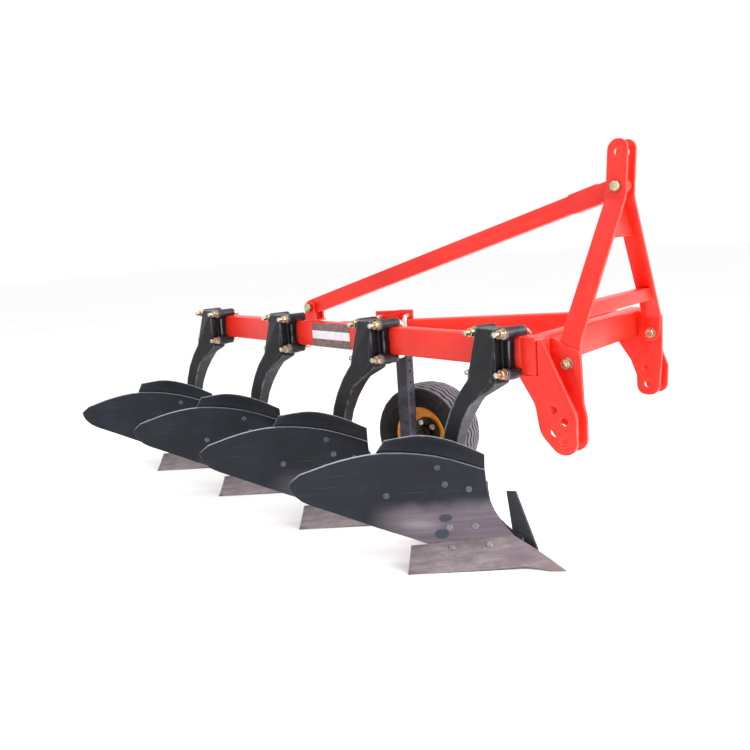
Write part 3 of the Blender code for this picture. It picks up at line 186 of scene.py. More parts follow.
def spot(tree, flat, along, height, wide, tall, turn=0.0, inside=0.15):
    """1 inside a soft oval at this place on the slice face, 0 outside."""
    oval = put(tree, "Mapping", {"Vector": flat, "Location": (-along, -height, 0)})
    turned = put(tree, "Mapping", {"Vector": oval.outputs[0], "Rotation": (0, 0, math.radians(-turn))})
    sized = put(tree, "Mapping", {"Vector": turned.outputs[0], "Scale": (1 / wide, 1 / tall, 1)})
    size = put(tree, "VectorMath", {0: sized.outputs[0]}, operation="LENGTH")
    return put(tree, "MapRange", {"Value": size.outputs["Value"], "From Min": 1.0, "From Max": inside},
               interpolation_type="SMOOTHSTEP").outputs[0]


def slate_board_enamel(index, scour_and_sheen):
    """Slate-black paint on rolled three-ply steel: soil has scoured it to a brownish grey by the share, with
    painted highlights.
    """
    finish, tree, shader, place = new_finish(
        f"slate_board_enamel_scoured_{index + 1}", Specular_IOR_Level=0.30)
    along, height, flat = slice_place(tree, place, index)
    cloud = put(tree, "TexNoise", {"Vector": place, "Scale": 7.0, "Detail": 5.0, "Roughness": 0.6})
    paint = put(tree, "ValToRGB", {"Fac": cloud.outputs["Fac"]},
                stops=[(0.30, linear("#0F131B")), (0.55, linear("#161B26")), (0.78, linear("#212836"))])
    streak_place = put(tree, "Mapping", {"Vector": flat, "Scale": (4.0, 90.0, 1.0)})
    streaks = put(tree, "TexNoise", {"Vector": streak_place.outputs[0], "Scale": 1.0, "Detail": 6.0,
                                     "Roughness": 0.65})
    steel = put(tree, "ValToRGB", {"Fac": streaks.outputs["Fac"]},
                stops=[(0.25, linear("#5E545E")), (0.50, linear("#6F646E")), (0.75, linear("#857981"))])
    # Scoured field below a wavy line at about 175 mm, back to about 540 mm from the point; partly a painted
    # reflection on the rear bottoms.
    wave = put(tree, "MapRange", {"Value": cloud.outputs["Fac"], "To Min": -0.035, "To Max": 0.035})
    level = put(tree, "Math", {0: height, 1: wave.outputs[0]}, operation="ADD")
    low = put(tree, "MapRange", {"Value": level.outputs[0], "From Min": 0.200, "From Max": 0.150},
              interpolation_type="SMOOTHSTEP")
    back = put(tree, "MapRange", {"Value": along, "From Min": 0.64, "From Max": 0.44},
               interpolation_type="SMOOTHSTEP")
    field = put(tree, "Math", {0: low.outputs[0], 1: back.outputs[0]}, operation="MULTIPLY")
    field = put(tree, "Math", {0: field.outputs[0], 1: scour_and_sheen}, operation="MULTIPLY")
    colour = blend_colour(tree, field.outputs[0], paint.outputs["Color"], steel.outputs["Color"])
    # Painted highlights: soft pale ovals on the scoured steel where it catches the light.
    for place_along, place_up, wide, tall, share in ((0.500, 0.128, 0.150, 0.050, 0.16),
                                                     (0.455, 0.118, 0.090, 0.020, 0.42),
                                                     (0.300, 0.160, 0.120, 0.050, 0.10)):
        painted_highlight = spot(tree, flat, place_along, place_up, wide, tall, 4)
        painted_highlight = put(tree, "Math", {0: painted_highlight, 1: share * scour_and_sheen}, operation="MULTIPLY")
        colour = blend_colour(tree, painted_highlight.outputs[0], colour, linear("#A9A0A6"))
    for place_along, place_up, wide, tall in ((0.374, 0.133, 0.024, 0.013), (0.386, 0.089, 0.026, 0.015)):
        left = spot(tree, flat, place_along, place_up, wide, tall, 0, 0.78)
        left = put(tree, "Math", {0: left, 1: 0.9 * scour_and_sheen}, operation="MULTIPLY")
        colour = blend_colour(tree, left.outputs[0], colour, linear("#3C4450"))
    scratch_place = put(tree, "Mapping", {"Vector": flat, "Rotation": (0, 0, 0.12),
                                          "Scale": (3.0, 210.0, 1.0)})
    scratches = put(tree, "TexNoise", {"Vector": scratch_place.outputs[0], "Scale": 1.0, "Detail": 3.0})
    scratch = put(tree, "MapRange", {"Value": scratches.outputs["Fac"], "From Min": 0.66, "From Max": 0.74,
                                     "To Max": 0.22})
    colour = blend_colour(tree, scratch.outputs[0], colour, linear("#7E8793"))
    edges = edge_wear_and_highlight(tree, place, 0.0030, 0.90)
    colour = blend_colour(tree, edges, colour, linear("#9AA0A8"))
    # Rolled and cut top edges: a painted highlight where they face upward, as if lit from above.
    facing = put(tree, "SeparateXYZ", {"Vector": put(tree, "NewGeometry").outputs["Normal"]}).outputs["Z"]
    upward = put(tree, "MapRange", {"Value": facing, "From Min": 0.62, "From Max": 0.78})
    high = put(tree, "MapRange", {"Value": height, "From Min": 0.19, "From Max": 0.21})
    painted_top_highlight = put(tree, "Math", {0: upward.outputs[0], 1: high.outputs[0]}, operation="MULTIPLY")
    painted_top_highlight = put(tree, "Math", {0: painted_top_highlight.outputs[0], 1: 0.85}, operation="MULTIPLY")
    colour = blend_colour(tree, painted_top_highlight.outputs[0], colour, linear("#A9AEB4"))
    tree.links.new(colour, shader.inputs["Base Color"])
    dull = put(tree, "MapRange", {"Value": streaks.outputs["Fac"], "To Min": 0.30, "To Max": 0.55})
    tree.links.new(dull.outputs[0], shader.inputs["Roughness"])
    bare = put(tree, "Math", {0: field.outputs[0], 1: 0.35}, operation="MULTIPLY")
    tree.links.new(bare.outputs[0], shader.inputs["Metallic"])
    bump = put(tree, "Bump", {"Height": streaks.outputs["Fac"], "Strength": 0.15, "Distance": 0.0008})
    grit = put(tree, "TexNoise", {"Vector": place, "Scale": 120.0, "Detail": 4.0})
    fine = put(tree, "Bump", {"Height": grit.outputs["Fac"], "Strength": 0.18, "Distance": 0.0007,
                              "Normal": bump.outputs[0]})
    tree.links.new(fine.outputs[0], shader.inputs["Normal"])
    return finish


def worn_share_steel(index):
    """Bare forged boron steel after work: pinkish grey, streaked by soil, with rust bloom and pits."""
    finish, tree, shader, place = new_finish(f"forged_share_steel_worn_{index + 1}", Metallic=0.35)
    along, height, flat = slice_place(tree, place, index)
    streak_place = put(tree, "Mapping", {"Vector": flat, "Scale": (9.0, 60.0, 1.0)})
    streaks = put(tree, "TexNoise", {"Vector": streak_place.outputs[0], "Scale": 1.0, "Detail": 8.0,
                                     "Roughness": 0.7})
    steel = put(tree, "ValToRGB", {"Fac": streaks.outputs["Fac"]},
                stops=[(0.28, linear("#665C62")), (0.50, linear("#857A7D")), (0.72, linear("#A29899"))])
    bloom = put(tree, "TexNoise", {"Vector": place, "Scale": 16.0, "Detail": 9.0, "Roughness": 0.72})
    rust = put(tree, "MapRange", {"Value": bloom.outputs["Fac"], "From Min": 0.52, "From Max": 0.68,
                                  "To Max": 0.5})
    colour = blend_colour(tree, rust.outputs[0], steel.outputs["Color"], linear("#6E5C5B"))
    smear = spot(tree, flat, 0.150, 0.035, 0.090, 0.028, -6)
    smear = put(tree, "Math", {0: smear, 1: 0.55}, operation="MULTIPLY")
    colour = blend_colour(tree, smear.outputs[0], colour, linear("#6E6072"))
    pits = put(tree, "TexVoronoi", {"Vector": place, "Scale": 42.0})
    pit = put(tree, "MapRange", {"Value": pits.outputs["Distance"], "From Min": 0.16, "From Max": 0.05,
                                 "To Max": 0.5})
    colour = blend_colour(tree, pit.outputs[0], colour, linear("#4A4144"))
    edges = edge_wear_and_highlight(tree, place, 0.0025, 0.92)
    colour = blend_colour(tree, edges, colour, linear("#B8B0B0"))
    tree.links.new(colour, shader.inputs["Base Color"])
    dull = put(tree, "MapRange", {"Value": bloom.outputs["Fac"], "To Min": 0.36, "To Max": 0.68})
    tree.links.new(dull.outputs[0], shader.inputs["Roughness"])
    bump = put(tree, "Bump", {"Height": streaks.outputs["Fac"], "Strength": 0.25, "Distance": 0.001})
    deep = put(tree, "Bump", {"Height": pits.outputs["Distance"], "Strength": 0.20, "Distance": 0.001,
                              "Normal": bump.outputs[0]})
    tree.links.new(deep.outputs[0], shader.inputs["Normal"])
    return finish


def painted_finish(name, dark, middle, light, edge_shade, edge_reach=0.003, grain=90.0, depth=0.0012,
                   rough=(0.38, 0.60), specular=0.35, metal=0.0, edge_share=0.8, dense=False):
    """A brushed or sprayed coat over castings and bar: cloudy colour, rubbed edges, grain below it."""
    finish, tree, shader, place = new_finish(name, Specular_IOR_Level=specular, Metallic=metal)
    cloud = put(tree, "TexNoise", {"Vector": place, "Scale": 18.0, "Detail": 7.0, "Roughness": 0.65})
    body = put(tree, "ValToRGB", {"Fac": cloud.outputs["Fac"]},
               stops=[(0.30, linear(dark)), (0.52, linear(middle)), (0.74, linear(light))])
    edges = edge_wear_and_highlight(tree, place, edge_reach)
    if dense:  # a close, even mesh tells where it turns outward
        turning = put(tree, "NewGeometry").outputs["Pointiness"]
        ridge = put(tree, "MapRange", {"Value": turning, "From Min": 0.507, "From Max": 0.530})
        patch = put(tree, "MapRange", {"Value": cloud.outputs["Fac"], "From Min": 0.38, "From Max": 0.58})
        edges = put(tree, "Math", {0: ridge.outputs[0], 1: patch.outputs[0]}, operation="MULTIPLY").outputs[0]
    edges = put(tree, "Math", {0: edges, 1: edge_share}, operation="MULTIPLY")
    colour = blend_colour(tree, edges.outputs[0], body.outputs["Color"], linear(edge_shade))
    tree.links.new(colour, shader.inputs["Base Color"])
    pores = put(tree, "TexNoise", {"Vector": place, "Scale": grain, "Detail": 6.0, "Roughness": 0.7})
    dull = put(tree, "MapRange", {"Value": pores.outputs["Fac"], "To Min": rough[0], "To Max": rough[1]})
    tree.links.new(dull.outputs[0], shader.inputs["Roughness"])
    bump = put(tree, "Bump", {"Height": pores.outputs["Fac"], "Strength": 0.45, "Distance": depth})
    tree.links.new(bump.outputs[0], shader.inputs["Normal"])
    return finish


def plated_finish(name, dark, middle, light, tint, rough=(0.22, 0.42)):
    """Zinc plate on turned steel: bright, mottled in blotches, and tinted in patches by its passivation."""
    finish, tree, shader, place = new_finish(name, Metallic=0.85)
    mottle = put(tree, "TexNoise", {"Vector": place, "Scale": 55.0, "Detail": 6.0, "Roughness": 0.6})
    body = put(tree, "ValToRGB", {"Fac": mottle.outputs["Fac"]},
               stops=[(0.30, linear(dark)), (0.50, linear(middle)), (0.70, linear(light))])
    patch = put(tree, "TexNoise", {"Vector": place, "Scale": 28.0, "Detail": 2.0})
    tinted = put(tree, "MapRange", {"Value": patch.outputs["Fac"], "From Min": 0.50, "From Max": 0.62,
                                    "To Max": 0.7})
    colour = blend_colour(tree, tinted.outputs[0], body.outputs["Color"], linear(tint))
    edges = edge_wear_and_highlight(tree, place, 0.0012)
    colour = blend_colour(tree, edges, colour, linear("#F4F0E6"))
    tree.links.new(colour, shader.inputs["Base Color"])
    dull = put(tree, "MapRange", {"Value": mottle.outputs["Fac"], "To Min": rough[0], "To Max": rough[1]})
    tree.links.new(dull.outputs[0], shader.inputs["Roughness"])
    bump = put(tree, "Bump", {"Height": mottle.outputs["Fac"], "Strength": 0.2, "Distance": 0.0005})
    tree.links.new(bump.outputs[0], shader.inputs["Normal"])
    return finish


def tyre_rubber():
    """Moulded black rubber gone grey: the tread lighter on its rib tops than in its grooves, darker and
    smoother walls.
    """
    finish, tree, shader, place = new_finish("moulded_tyre_rubber_dusty", Specular_IOR_Level=0.25)
    dust = put(tree, "TexNoise", {"Vector": place, "Scale": 38.0, "Detail": 9.0, "Roughness": 0.75})
    rubber = put(tree, "ValToRGB", {"Fac": dust.outputs["Fac"]},
                 stops=[(0.30, linear("#151416")), (0.55, linear("#232124")), (0.76, linear("#403D42"))])
    hub = put(tree, "VectorMath", {0: place, 1: -WHEEL}, operation="ADD")
    flat = put(tree, "VectorMath", {0: hub.outputs[0], 1: (1, 0, 1)}, operation="MULTIPLY")
    out = put(tree, "VectorMath", {0: flat.outputs[0]}, operation="LENGTH")
    side = put(tree, "SeparateXYZ", {"Vector": hub.outputs[0]}).outputs["Y"]
    square = put(tree, "Math", {0: side, 1: side}, operation="MULTIPLY")
    crown = put(tree, "Math", {0: square.outputs[0], 1: -1.75, 2: 0.2118}, operation="MULTIPLY_ADD")
    depth = put(tree, "Math", {0: crown.outputs[0], 1: out.outputs["Value"]}, operation="SUBTRACT")
    # Lighter on the tread's rib tops than in its grooves, by how deep each point lies below the crown.
    rib = put(tree, "MapRange", {"Value": depth.outputs[0], "From Min": 0.0028, "From Max": 0.0010})
    tread = put(tree, "MapRange", {"Value": square.outputs[0], "From Min": 0.0066, "From Max": 0.0056,
                                   "To Max": 0.75})
    lightening = put(tree, "Math", {0: rib.outputs[0], 1: tread.outputs[0]}, operation="MULTIPLY")
    colour = blend_colour(tree, lightening.outputs[0], rubber.outputs["Color"], linear("#84838C"))
    tree.links.new(colour, shader.inputs["Base Color"])
    dull = put(tree, "MapRange", {"Value": dust.outputs["Fac"], "To Min": 0.55, "To Max": 0.85})
    tree.links.new(dull.outputs[0], shader.inputs["Roughness"])
    bump = put(tree, "Bump", {"Height": dust.outputs["Fac"], "Strength": 0.35, "Distance": 0.001})
    tree.links.new(bump.outputs[0], shader.inputs["Normal"])
    return finish


def banded_plate_foil(low, high):
    """Foil on thin aluminium, left blank: a pale band between two grey-brown ones, lightly scuffed."""
    finish, tree, shader, place = new_finish("banded_foil_plate_blank", Specular_IOR_Level=0.4)
    height = put(tree, "SeparateXYZ", {"Vector": place}).outputs["Z"]
    part = put(tree, "MapRange", {"Value": height, "From Min": low, "From Max": high})
    scuff = put(tree, "TexNoise", {"Vector": place, "Scale": 60.0, "Detail": 6.0})
    brown = put(tree, "ValToRGB", {"Fac": scuff.outputs["Fac"]},
                stops=[(0.35, linear("#6B5556")), (0.70, linear("#8A7371"))])
    pale = put(tree, "ValToRGB", {"Fac": scuff.outputs["Fac"]},
               stops=[(0.35, linear("#E6DCE2")), (0.70, linear("#FAF4F6"))])
    band = put(tree, "ValToRGB", {"Fac": part.outputs[0]},
               stops=[(0.0, (0, 0, 0, 1)), (0.33, (1, 1, 1, 1)), (0.67, (0, 0, 0, 1))])
    band.color_ramp.interpolation = "CONSTANT"
    colour = blend_colour(tree, band.outputs["Color"], brown.outputs["Color"], pale.outputs["Color"])
    tree.links.new(colour, shader.inputs["Base Color"])
    dull = put(tree, "MapRange", {"Value": scuff.outputs["Fac"], "To Min": 0.35, "To Max": 0.6})
    tree.links.new(dull.outputs[0], shader.inputs["Roughness"])
    bump = put(tree, "Bump", {"Height": scuff.outputs["Fac"], "Strength": 0.1, "Distance": 0.0004})
    tree.links.new(bump.outputs[0], shader.inputs["Normal"])
    return finish


RED = red_stove_enamel()
BOARDS = [slate_board_enamel(index, scour_and_sheen) for index, scour_and_sheen in enumerate((1.0, 0.45, 0.35, 0.15))]
SHARES = [worn_share_steel(index) for index in range(BODY_COUNT)]
CASTING = painted_finish("black_painted_sand_casting", "#050609", "#0B0D13", "#181B25", "#7D818B",
                         grain=150.0, depth=0.0030, rough=(0.24, 0.52), specular=0.34,
                         edge_share=0.85, dense=True)
BLACK_PLATE = painted_finish("black_painted_plate", "#1C1F24", "#252A2F", "#33393F", "#777D82",
                             edge_share=0.5)
LEG_GREY = painted_finish("dark_grey_sprayed_tube", "#2A2B32", "#3B3C47", "#525362", "#9091A6",
                          depth=0.0006)
HUB_BLACK = painted_finish("greasy_black_hub_paint", "#0A0B0A", "#15170F", "#26281C", "#5C5D50",
                           rough=(0.22, 0.5))
RIM_YELLOW = painted_finish("orange_yellow_wheel_enamel", "#E88A12", "#F39C1C", "#FBB23A", "#FFD27A",
                            edge_reach=0.002, depth=0.0004, rough=(0.25, 0.42), specular=0.5)
ZINC = plated_finish("bright_zinc_plate", "#A9A8A2", "#CFCDC6", "#EFEDE8", "#DCD9C2")
GOLD_ZINC = plated_finish("yellow_passivated_zinc_plate", "#8E8064", "#B9A888", "#DCCDB4", "#B98C6C")
GREEN_ZINC = plated_finish("olive_passivated_zinc_plate", "#8F8C70", "#B4B193", "#D3D0B8", "#A49A66")
BOLT_STEEL = painted_finish("polished_plough_bolt_steel", "#6C6A70", "#858288", "#A09CA0", "#C8C4C4",
                            rough=(0.25, 0.45), metal=0.6, depth=0.0004)
SLATE_BOLT = painted_finish("slate_painted_plough_bolt", "#39404C", "#4A515E", "#626A78", "#8D94A0",
                            rough=(0.25, 0.45), depth=0.0004)


# ---------------------------------------------------------------- shape helpers
def deselect():
    if bpy.context.object and bpy.context.object.mode != "OBJECT":
        bpy.ops.object.mode_set(mode="OBJECT")
    bpy.ops.object.select_all(action="DESELECT")


def work_on(piece):
    deselect()
    bpy.context.view_layer.objects.active = piece
    piece.select_set(True)


def pick_faces(piece, wanted):
    """In edit mode, selects only the faces whose centre and normal the given test accepts."""
    bpy.ops.mesh.select_mode(type="FACE")
    bpy.ops.mesh.select_all(action="DESELECT")
    bpy.ops.object.mode_set(mode="OBJECT")
    for face in piece.data.polygons:
        face.select = bool(wanted(face.center, face.normal))
    bpy.ops.object.mode_set(mode="EDIT")


def settle(piece):
    """Moves the object's place into its mesh."""
    work_on(piece)
    bpy.ops.object.transform_apply(location=True, rotation=True, scale=True)


def soften(piece, width, segments=2, angle=30, smooth=35):
    """A small bevel on the sharp edges, applied, and shading smooth but for what stays sharp."""
    settle(piece)
    if width:
        bevel = piece.modifiers.new("soft_edge", "BEVEL")
        bevel.width = width
        bevel.segments = segments
        bevel.limit_method = "ANGLE"
        bevel.angle_limit = math.radians(angle)
        bpy.ops.object.modifier_apply(modifier=bevel.name)
    bpy.ops.object.shade_smooth_by_angle(angle=math.radians(smooth))


def dress(piece, finish, body):
    piece.data.materials.clear()
    piece.data.materials.append(finish)
    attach(piece, body)
    return piece


FINISHED = {}


def finished_copy(name, finish, edge=0.0010, flat=0.4, smooth=35):
    """A merged, softly bevelled copy of a CAD node that stands for it."""
    piece = bpy.data.objects.new(name + "_finished", NODES[name].data.copy())
    bpy.context.scene.collection.objects.link(piece)
    FINISHED[name] = piece
    work_on(piece)
    bpy.ops.object.mode_set(mode="EDIT")
    bpy.ops.mesh.select_all(action="SELECT")
    bpy.ops.mesh.remove_doubles(threshold=0.00002)
    if flat:
        bpy.ops.mesh.dissolve_limited(angle_limit=math.radians(flat))
    bpy.ops.object.mode_set(mode="OBJECT")
    soften(piece, edge, smooth=smooth)
    dress(piece, finish, BODY_OF[name])
    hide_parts(name)
    return piece


BOSS_RADIUS = 0.0215  # round each bolt of a clamp head, kept out of the neck's hull


def fill_neck(piece, clamp):
    """Adds a hull over the foot of the clamp head and the top of the arm, so that they join as one neck."""
    neck = bpy.data.objects.new("neck", piece.data.copy())
    bpy.context.scene.collection.objects.link(neck)
    work_on(neck)
    bpy.ops.object.mode_set(mode="EDIT")
    bpy.ops.mesh.select_mode(type="VERT")
    bpy.ops.mesh.select_all(action="DESELECT")
    bpy.ops.object.mode_set(mode="OBJECT")
    for point in neck.data.vertices:
        offset = point.co - clamp
        along, left, height = offset.dot(BEAM_FORWARD), offset.dot(BEAM_LEFT), point.co.z
        boss = math.hypot(abs(along) - CLAMP_HALF_SPACING,
                          abs(height - FRAME_Z) - CLAMP_HALF_HEIGHT) < BOSS_RADIUS
        inside = -0.050 < along < 0.046 and -0.18 < left < -0.05 and 0.49 < height < 0.76
        point.select = not inside or boss
    bpy.ops.object.mode_set(mode="EDIT")
    bpy.ops.mesh.delete(type="VERT")
    bpy.ops.mesh.select_all(action="SELECT")
    bpy.ops.mesh.convex_hull()
    bpy.ops.object.mode_set(mode="OBJECT")
    deselect()
    neck.select_set(True)
    piece.select_set(True)
    bpy.context.view_layer.objects.active = piece
    bpy.ops.object.join()


def cast_copy(name, finish, grid=0.0030, rounds=5):
    """A copy of a CAD casting whose joined bodies flow into each other as poured iron does."""
    piece = bpy.data.objects.new(name + "_casting", NODES[name].data.copy())
    bpy.context.scene.collection.objects.link(piece)
    FINISHED[name] = piece
    fill_neck(piece, ORIGIN + (int(name[-1]) - 1) * BODY_STEP)
    work_on(piece)
    bpy.ops.object.mode_set(mode="EDIT")
    bpy.ops.mesh.select_all(action="SELECT")
    bpy.ops.mesh.remove_doubles(threshold=0.00002)
    bpy.ops.object.mode_set(mode="OBJECT")
    remesh = piece.modifiers.new("even_skin", "REMESH")
    remesh.mode = "VOXEL"
    remesh.voxel_size = grid
    remesh.use_smooth_shade = True
    bpy.ops.object.modifier_apply(modifier=remesh.name)
    smooth = piece.modifiers.new("flow", "SMOOTH")
    smooth.factor = 0.6
    smooth.iterations = rounds
    bpy.ops.object.modifier_apply(modifier=smooth.name)
    dress(piece, finish, BODY_OF[name])
    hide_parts(name)
    return piece


def placed_copy(source, name, place, direction, finish, body, turn=0.0):
    """A copy of a piece modelled upright at the origin, with its own mesh, pointed along a direction."""
    piece = bpy.data.objects.new(name, source.data.copy())
    bpy.context.scene.collection.objects.link(piece)
    upright = Vector(direction).normalized().to_track_quat("Z", "Y").to_matrix().to_4x4()
    spun = Matrix.Rotation(turn, 4, "Z")
    piece.data.transform(Matrix.Translation(place) @ upright @ spun)
    return dress(piece, finish, body)


def fasten(source, name, place, way, finish=None, turn=0.0):
    """A zinc-plated fastening on the frame."""
    return placed_copy(source, name, place, way, finish or GOLD_ZINC, "frame", turn)


def forget(piece):
    bpy.data.objects.remove(piece)


# ---------------------------------------------------------------- fastenings, modelled once each
def hex_nut(across, tall, bore):
    """A hexagon nut that stands on z = 0: chamfered top, and a recess where the thread comes through."""
    deselect()
    bpy.ops.mesh.primitive_cylinder_add(vertices=6, radius=across / math.sqrt(3), depth=tall,
                                        location=(0, 0, tall / 2))
    nut = bpy.context.object
    bpy.ops.object.mode_set(mode="EDIT")
    pick_faces(nut, lambda centre, normal: normal.z > 0.9)
    bpy.ops.mesh.inset(thickness=across * 0.06)
    bpy.ops.transform.translate(value=(0, 0, tall * 0.10))
    bpy.ops.mesh.inset(thickness=across * 0.46 - bore)
    bpy.ops.transform.translate(value=(0, 0, -tall * 0.12))
    bpy.ops.object.mode_set(mode="OBJECT")
    soften(nut, across * 0.025)
    return nut


def washer(outer, tall):
    """A round washer on z = 0, with a rolled edge."""
    deselect()
    bpy.ops.mesh.primitive_cylinder_add(vertices=28, radius=outer, depth=tall, location=(0, 0, tall / 2))
    ring = bpy.context.object
    bpy.ops.object.mode_set(mode="EDIT")
    pick_faces(ring, lambda centre, normal: normal.z > 0.9)
    bpy.ops.mesh.inset(thickness=outer * 0.30)
    bpy.ops.transform.translate(value=(0, 0, -tall * 0.2))
    bpy.ops.object.mode_set(mode="OBJECT")
    soften(ring, tall * 0.2)
    return ring


THREAD_ROOT = 0.94  # a thread's root radius, as a share of its crest radius


def threaded_end(radius, tall, pitch):
    """A rod end with thread crests, on z = 0, chamfered at its tip."""
    deselect()
    bpy.ops.mesh.primitive_cylinder_add(vertices=16, radius=radius * THREAD_ROOT, depth=pitch / 2,
                                        location=(0, 0, pitch / 4))
    rod = bpy.context.object
    bpy.ops.object.mode_set(mode="EDIT")
    pick_faces(rod, lambda centre, normal: normal.z > 0.9)
    crest = 1 / THREAD_ROOT
    for turn in range(int(tall / pitch) - 1):
        bpy.ops.mesh.extrude_region_move(TRANSFORM_OT_translate={"value": (0, 0, pitch / 2)})
        bpy.ops.transform.resize(value=(crest, crest, 1))
        bpy.ops.mesh.extrude_region_move(TRANSFORM_OT_translate={"value": (0, 0, pitch / 2)})
        bpy.ops.transform.resize(value=(1 / crest, 1 / crest, 1))
    bpy.ops.mesh.extrude_region_move(TRANSFORM_OT_translate={"value": (0, 0, pitch / 2)})
    bpy.ops.transform.resize(value=(0.8, 0.8, 1))
    bpy.ops.object.mode_set(mode="OBJECT")
    soften(rod, 0, smooth=50)
    return rod


def hex_head(across, tall):
    """A bolt head on z = 0: a hexagon with a chamfered, slightly dished top."""
    deselect()
    bpy.ops.mesh.primitive_cylinder_add(vertices=6, radius=across / math.sqrt(3), depth=tall,
                                        location=(0, 0, tall / 2))
    head = bpy.context.object
    bpy.ops.object.mode_set(mode="EDIT")
    pick_faces(head, lambda centre, normal: normal.z > 0.9)
    bpy.ops.mesh.inset(thickness=across * 0.07)
    bpy.ops.transform.translate(value=(0, 0, tall * 0.14))
    bpy.ops.mesh.inset(thickness=across * 0.10)
    bpy.ops.transform.translate(value=(0, 0, -tall * 0.06))
    bpy.ops.object.mode_set(mode="OBJECT")
    soften(head, across * 0.03)
    return head


def plough_bolt_head(radius, tall):
    """The nearly flush round head of a plough bolt: a low dome with a worn flat."""
    deselect()
    bpy.ops.mesh.primitive_cylinder_add(vertices=24, radius=radius, depth=tall, location=(0, 0, 0))
    head = bpy.context.object
    bpy.ops.object.mode_set(mode="EDIT")
    pick_faces(head, lambda centre, normal: normal.z > 0.9)
    bpy.ops.mesh.inset(thickness=radius * 0.25)
    bpy.ops.transform.translate(value=(0, 0, tall * 0.22))
    bpy.ops.mesh.inset(thickness=radius * 0.35)
    bpy.ops.transform.translate(value=(0, 0, -tall * 0.10))
    bpy.ops.object.mode_set(mode="OBJECT")
    soften(head, tall * 0.12, smooth=50)
    return head


CLAMP_NUT = hex_nut(0.027, 0.016, 0.0095)
CLAMP_WASHER = washer(0.0170, 0.0032)
ROD_THREAD = threaded_end(0.0093, 0.041, 0.0034)
MAST_HEAD = hex_head(0.030, 0.013)
MAST_WASHER = washer(0.0190, 0.0035)
MAST_THREAD = threaded_end(0.0100, 0.022, 0.0034)
BOARD_BOLT = plough_bolt_head(0.0105, 0.0040)
WHEEL_NUT = hex_nut(0.022, 0.013, 0.007)

# ---------------------------------------------------------------- the CAD nodes, finished
for name in ("diagonal_beam", "front_cross_beam", "left_beam", "beam_end_block", "right_inner_hitch_plate",
             "right_outer_hitch_plate", "left_inner_hitch_plate", "left_outer_hitch_plate", "right_mast_bar",
             "left_mast_bar", "mast_rail", "mast_spacer", "top_brace", "brace_bracket", "wheel_bracket"):
    finished_copy(name, RED, edge=0.0016)
for number in range(1, BODY_COUNT + 1):
    board = BOARDS[number - 1]
    finished_copy(f"mouldboard_{number}", board, edge=0.0012, flat=0.0, smooth=50)
    finished_copy(f"trash_board_{number}", board, edge=0.0007, flat=0.0, smooth=50)
    finished_copy(f"share_{number}", SHARES[number - 1], edge=0.0010)
    cast_copy(f"shank_{number}", CASTING)
    finished_copy(f"landside_{number}", BLACK_PLATE, edge=0.0014)
    for end in ("front", "rear"):
        finished_copy(f"u_bolt_{number}_{end}", ZINC, edge=0.0, flat=0.0, smooth=60)
for end in ("front", "rear"):
    finished_copy(f"wheel_u_bolt_{end}", ZINC, edge=0.0, flat=0.0, smooth=60)
    finished_copy(f"brace_{end}_bolt", GREEN_ZINC, edge=0.0008)
finished_copy("wheel_leg", LEG_GREY, edge=0.0020)
finished_copy("wheel_axle", LEG_GREY, edge=0.0008)
finished_copy("wheel_hub", HUB_BLACK, edge=0.0015)
finished_copy("wheel_rim", RIM_YELLOW, edge=0.0008, flat=0.0, smooth=45)

# ---------------------------------------------------------------- clamp fastenings
CLAMP_FACE = -0.0940  # the face of each clamp head, to the left of the drawing's origin
NUT_SEAT = 0.0030  # from a clamp's face to its nut
for number in range(BODY_COUNT):
    for end, side in ENDS:
        for level, rise in LEVELS:
            label = f"clamp_{number + 1}_{end}_{level}"
            along = side * CLAMP_HALF_SPACING - BODY_SPACING * number
            face = beam_place(along, CLAMP_FACE, FRAME_Z + rise * CLAMP_HALF_HEIGHT)
            turn = 0.35 * number + 0.6 * side + 0.2 * rise
            fasten(CLAMP_WASHER, label + "_washer", face, -BEAM_LEFT, turn=turn)
            fasten(CLAMP_NUT, label + "_nut", face - NUT_SEAT * BEAM_LEFT, -BEAM_LEFT, turn=turn)
            fasten(ROD_THREAD, label + "_thread", face, -BEAM_LEFT)

# The ends of the U-bolts that hold the wheel's bracket to the left beam.
WHEEL_CLAMPS = (("front", Vector((0.3758, 0.3050, FRAME_Z)), 0.056),
                ("rear", Vector((0.2711, 0.2650, FRAME_Z)), -0.056))
WHEEL_CLAMP_FACE = 0.0300  # from those ends back to the bracket's face
WHEEL_THREAD_START = 0.0110  # how far behind that face the thread begins
for end, tip, turn in WHEEL_CLAMPS:
    for level, rise in LEVELS:
        base = tip - WHEEL_CLAMP_FACE * LEFT_BEAM_LEFT + rise * CLAMP_HALF_HEIGHT * UP
        label = f"wheel_clamp_{end}_{level}"
        fasten(CLAMP_WASHER, label + "_washer", base, LEFT_BEAM_LEFT)
        fasten(CLAMP_NUT, label + "_nut", base + NUT_SEAT * LEFT_BEAM_LEFT, LEFT_BEAM_LEFT, turn=turn)
        fasten(ROD_THREAD, label + "_thread", base - WHEEL_THREAD_START * LEFT_BEAM_LEFT, LEFT_BEAM_LEFT)

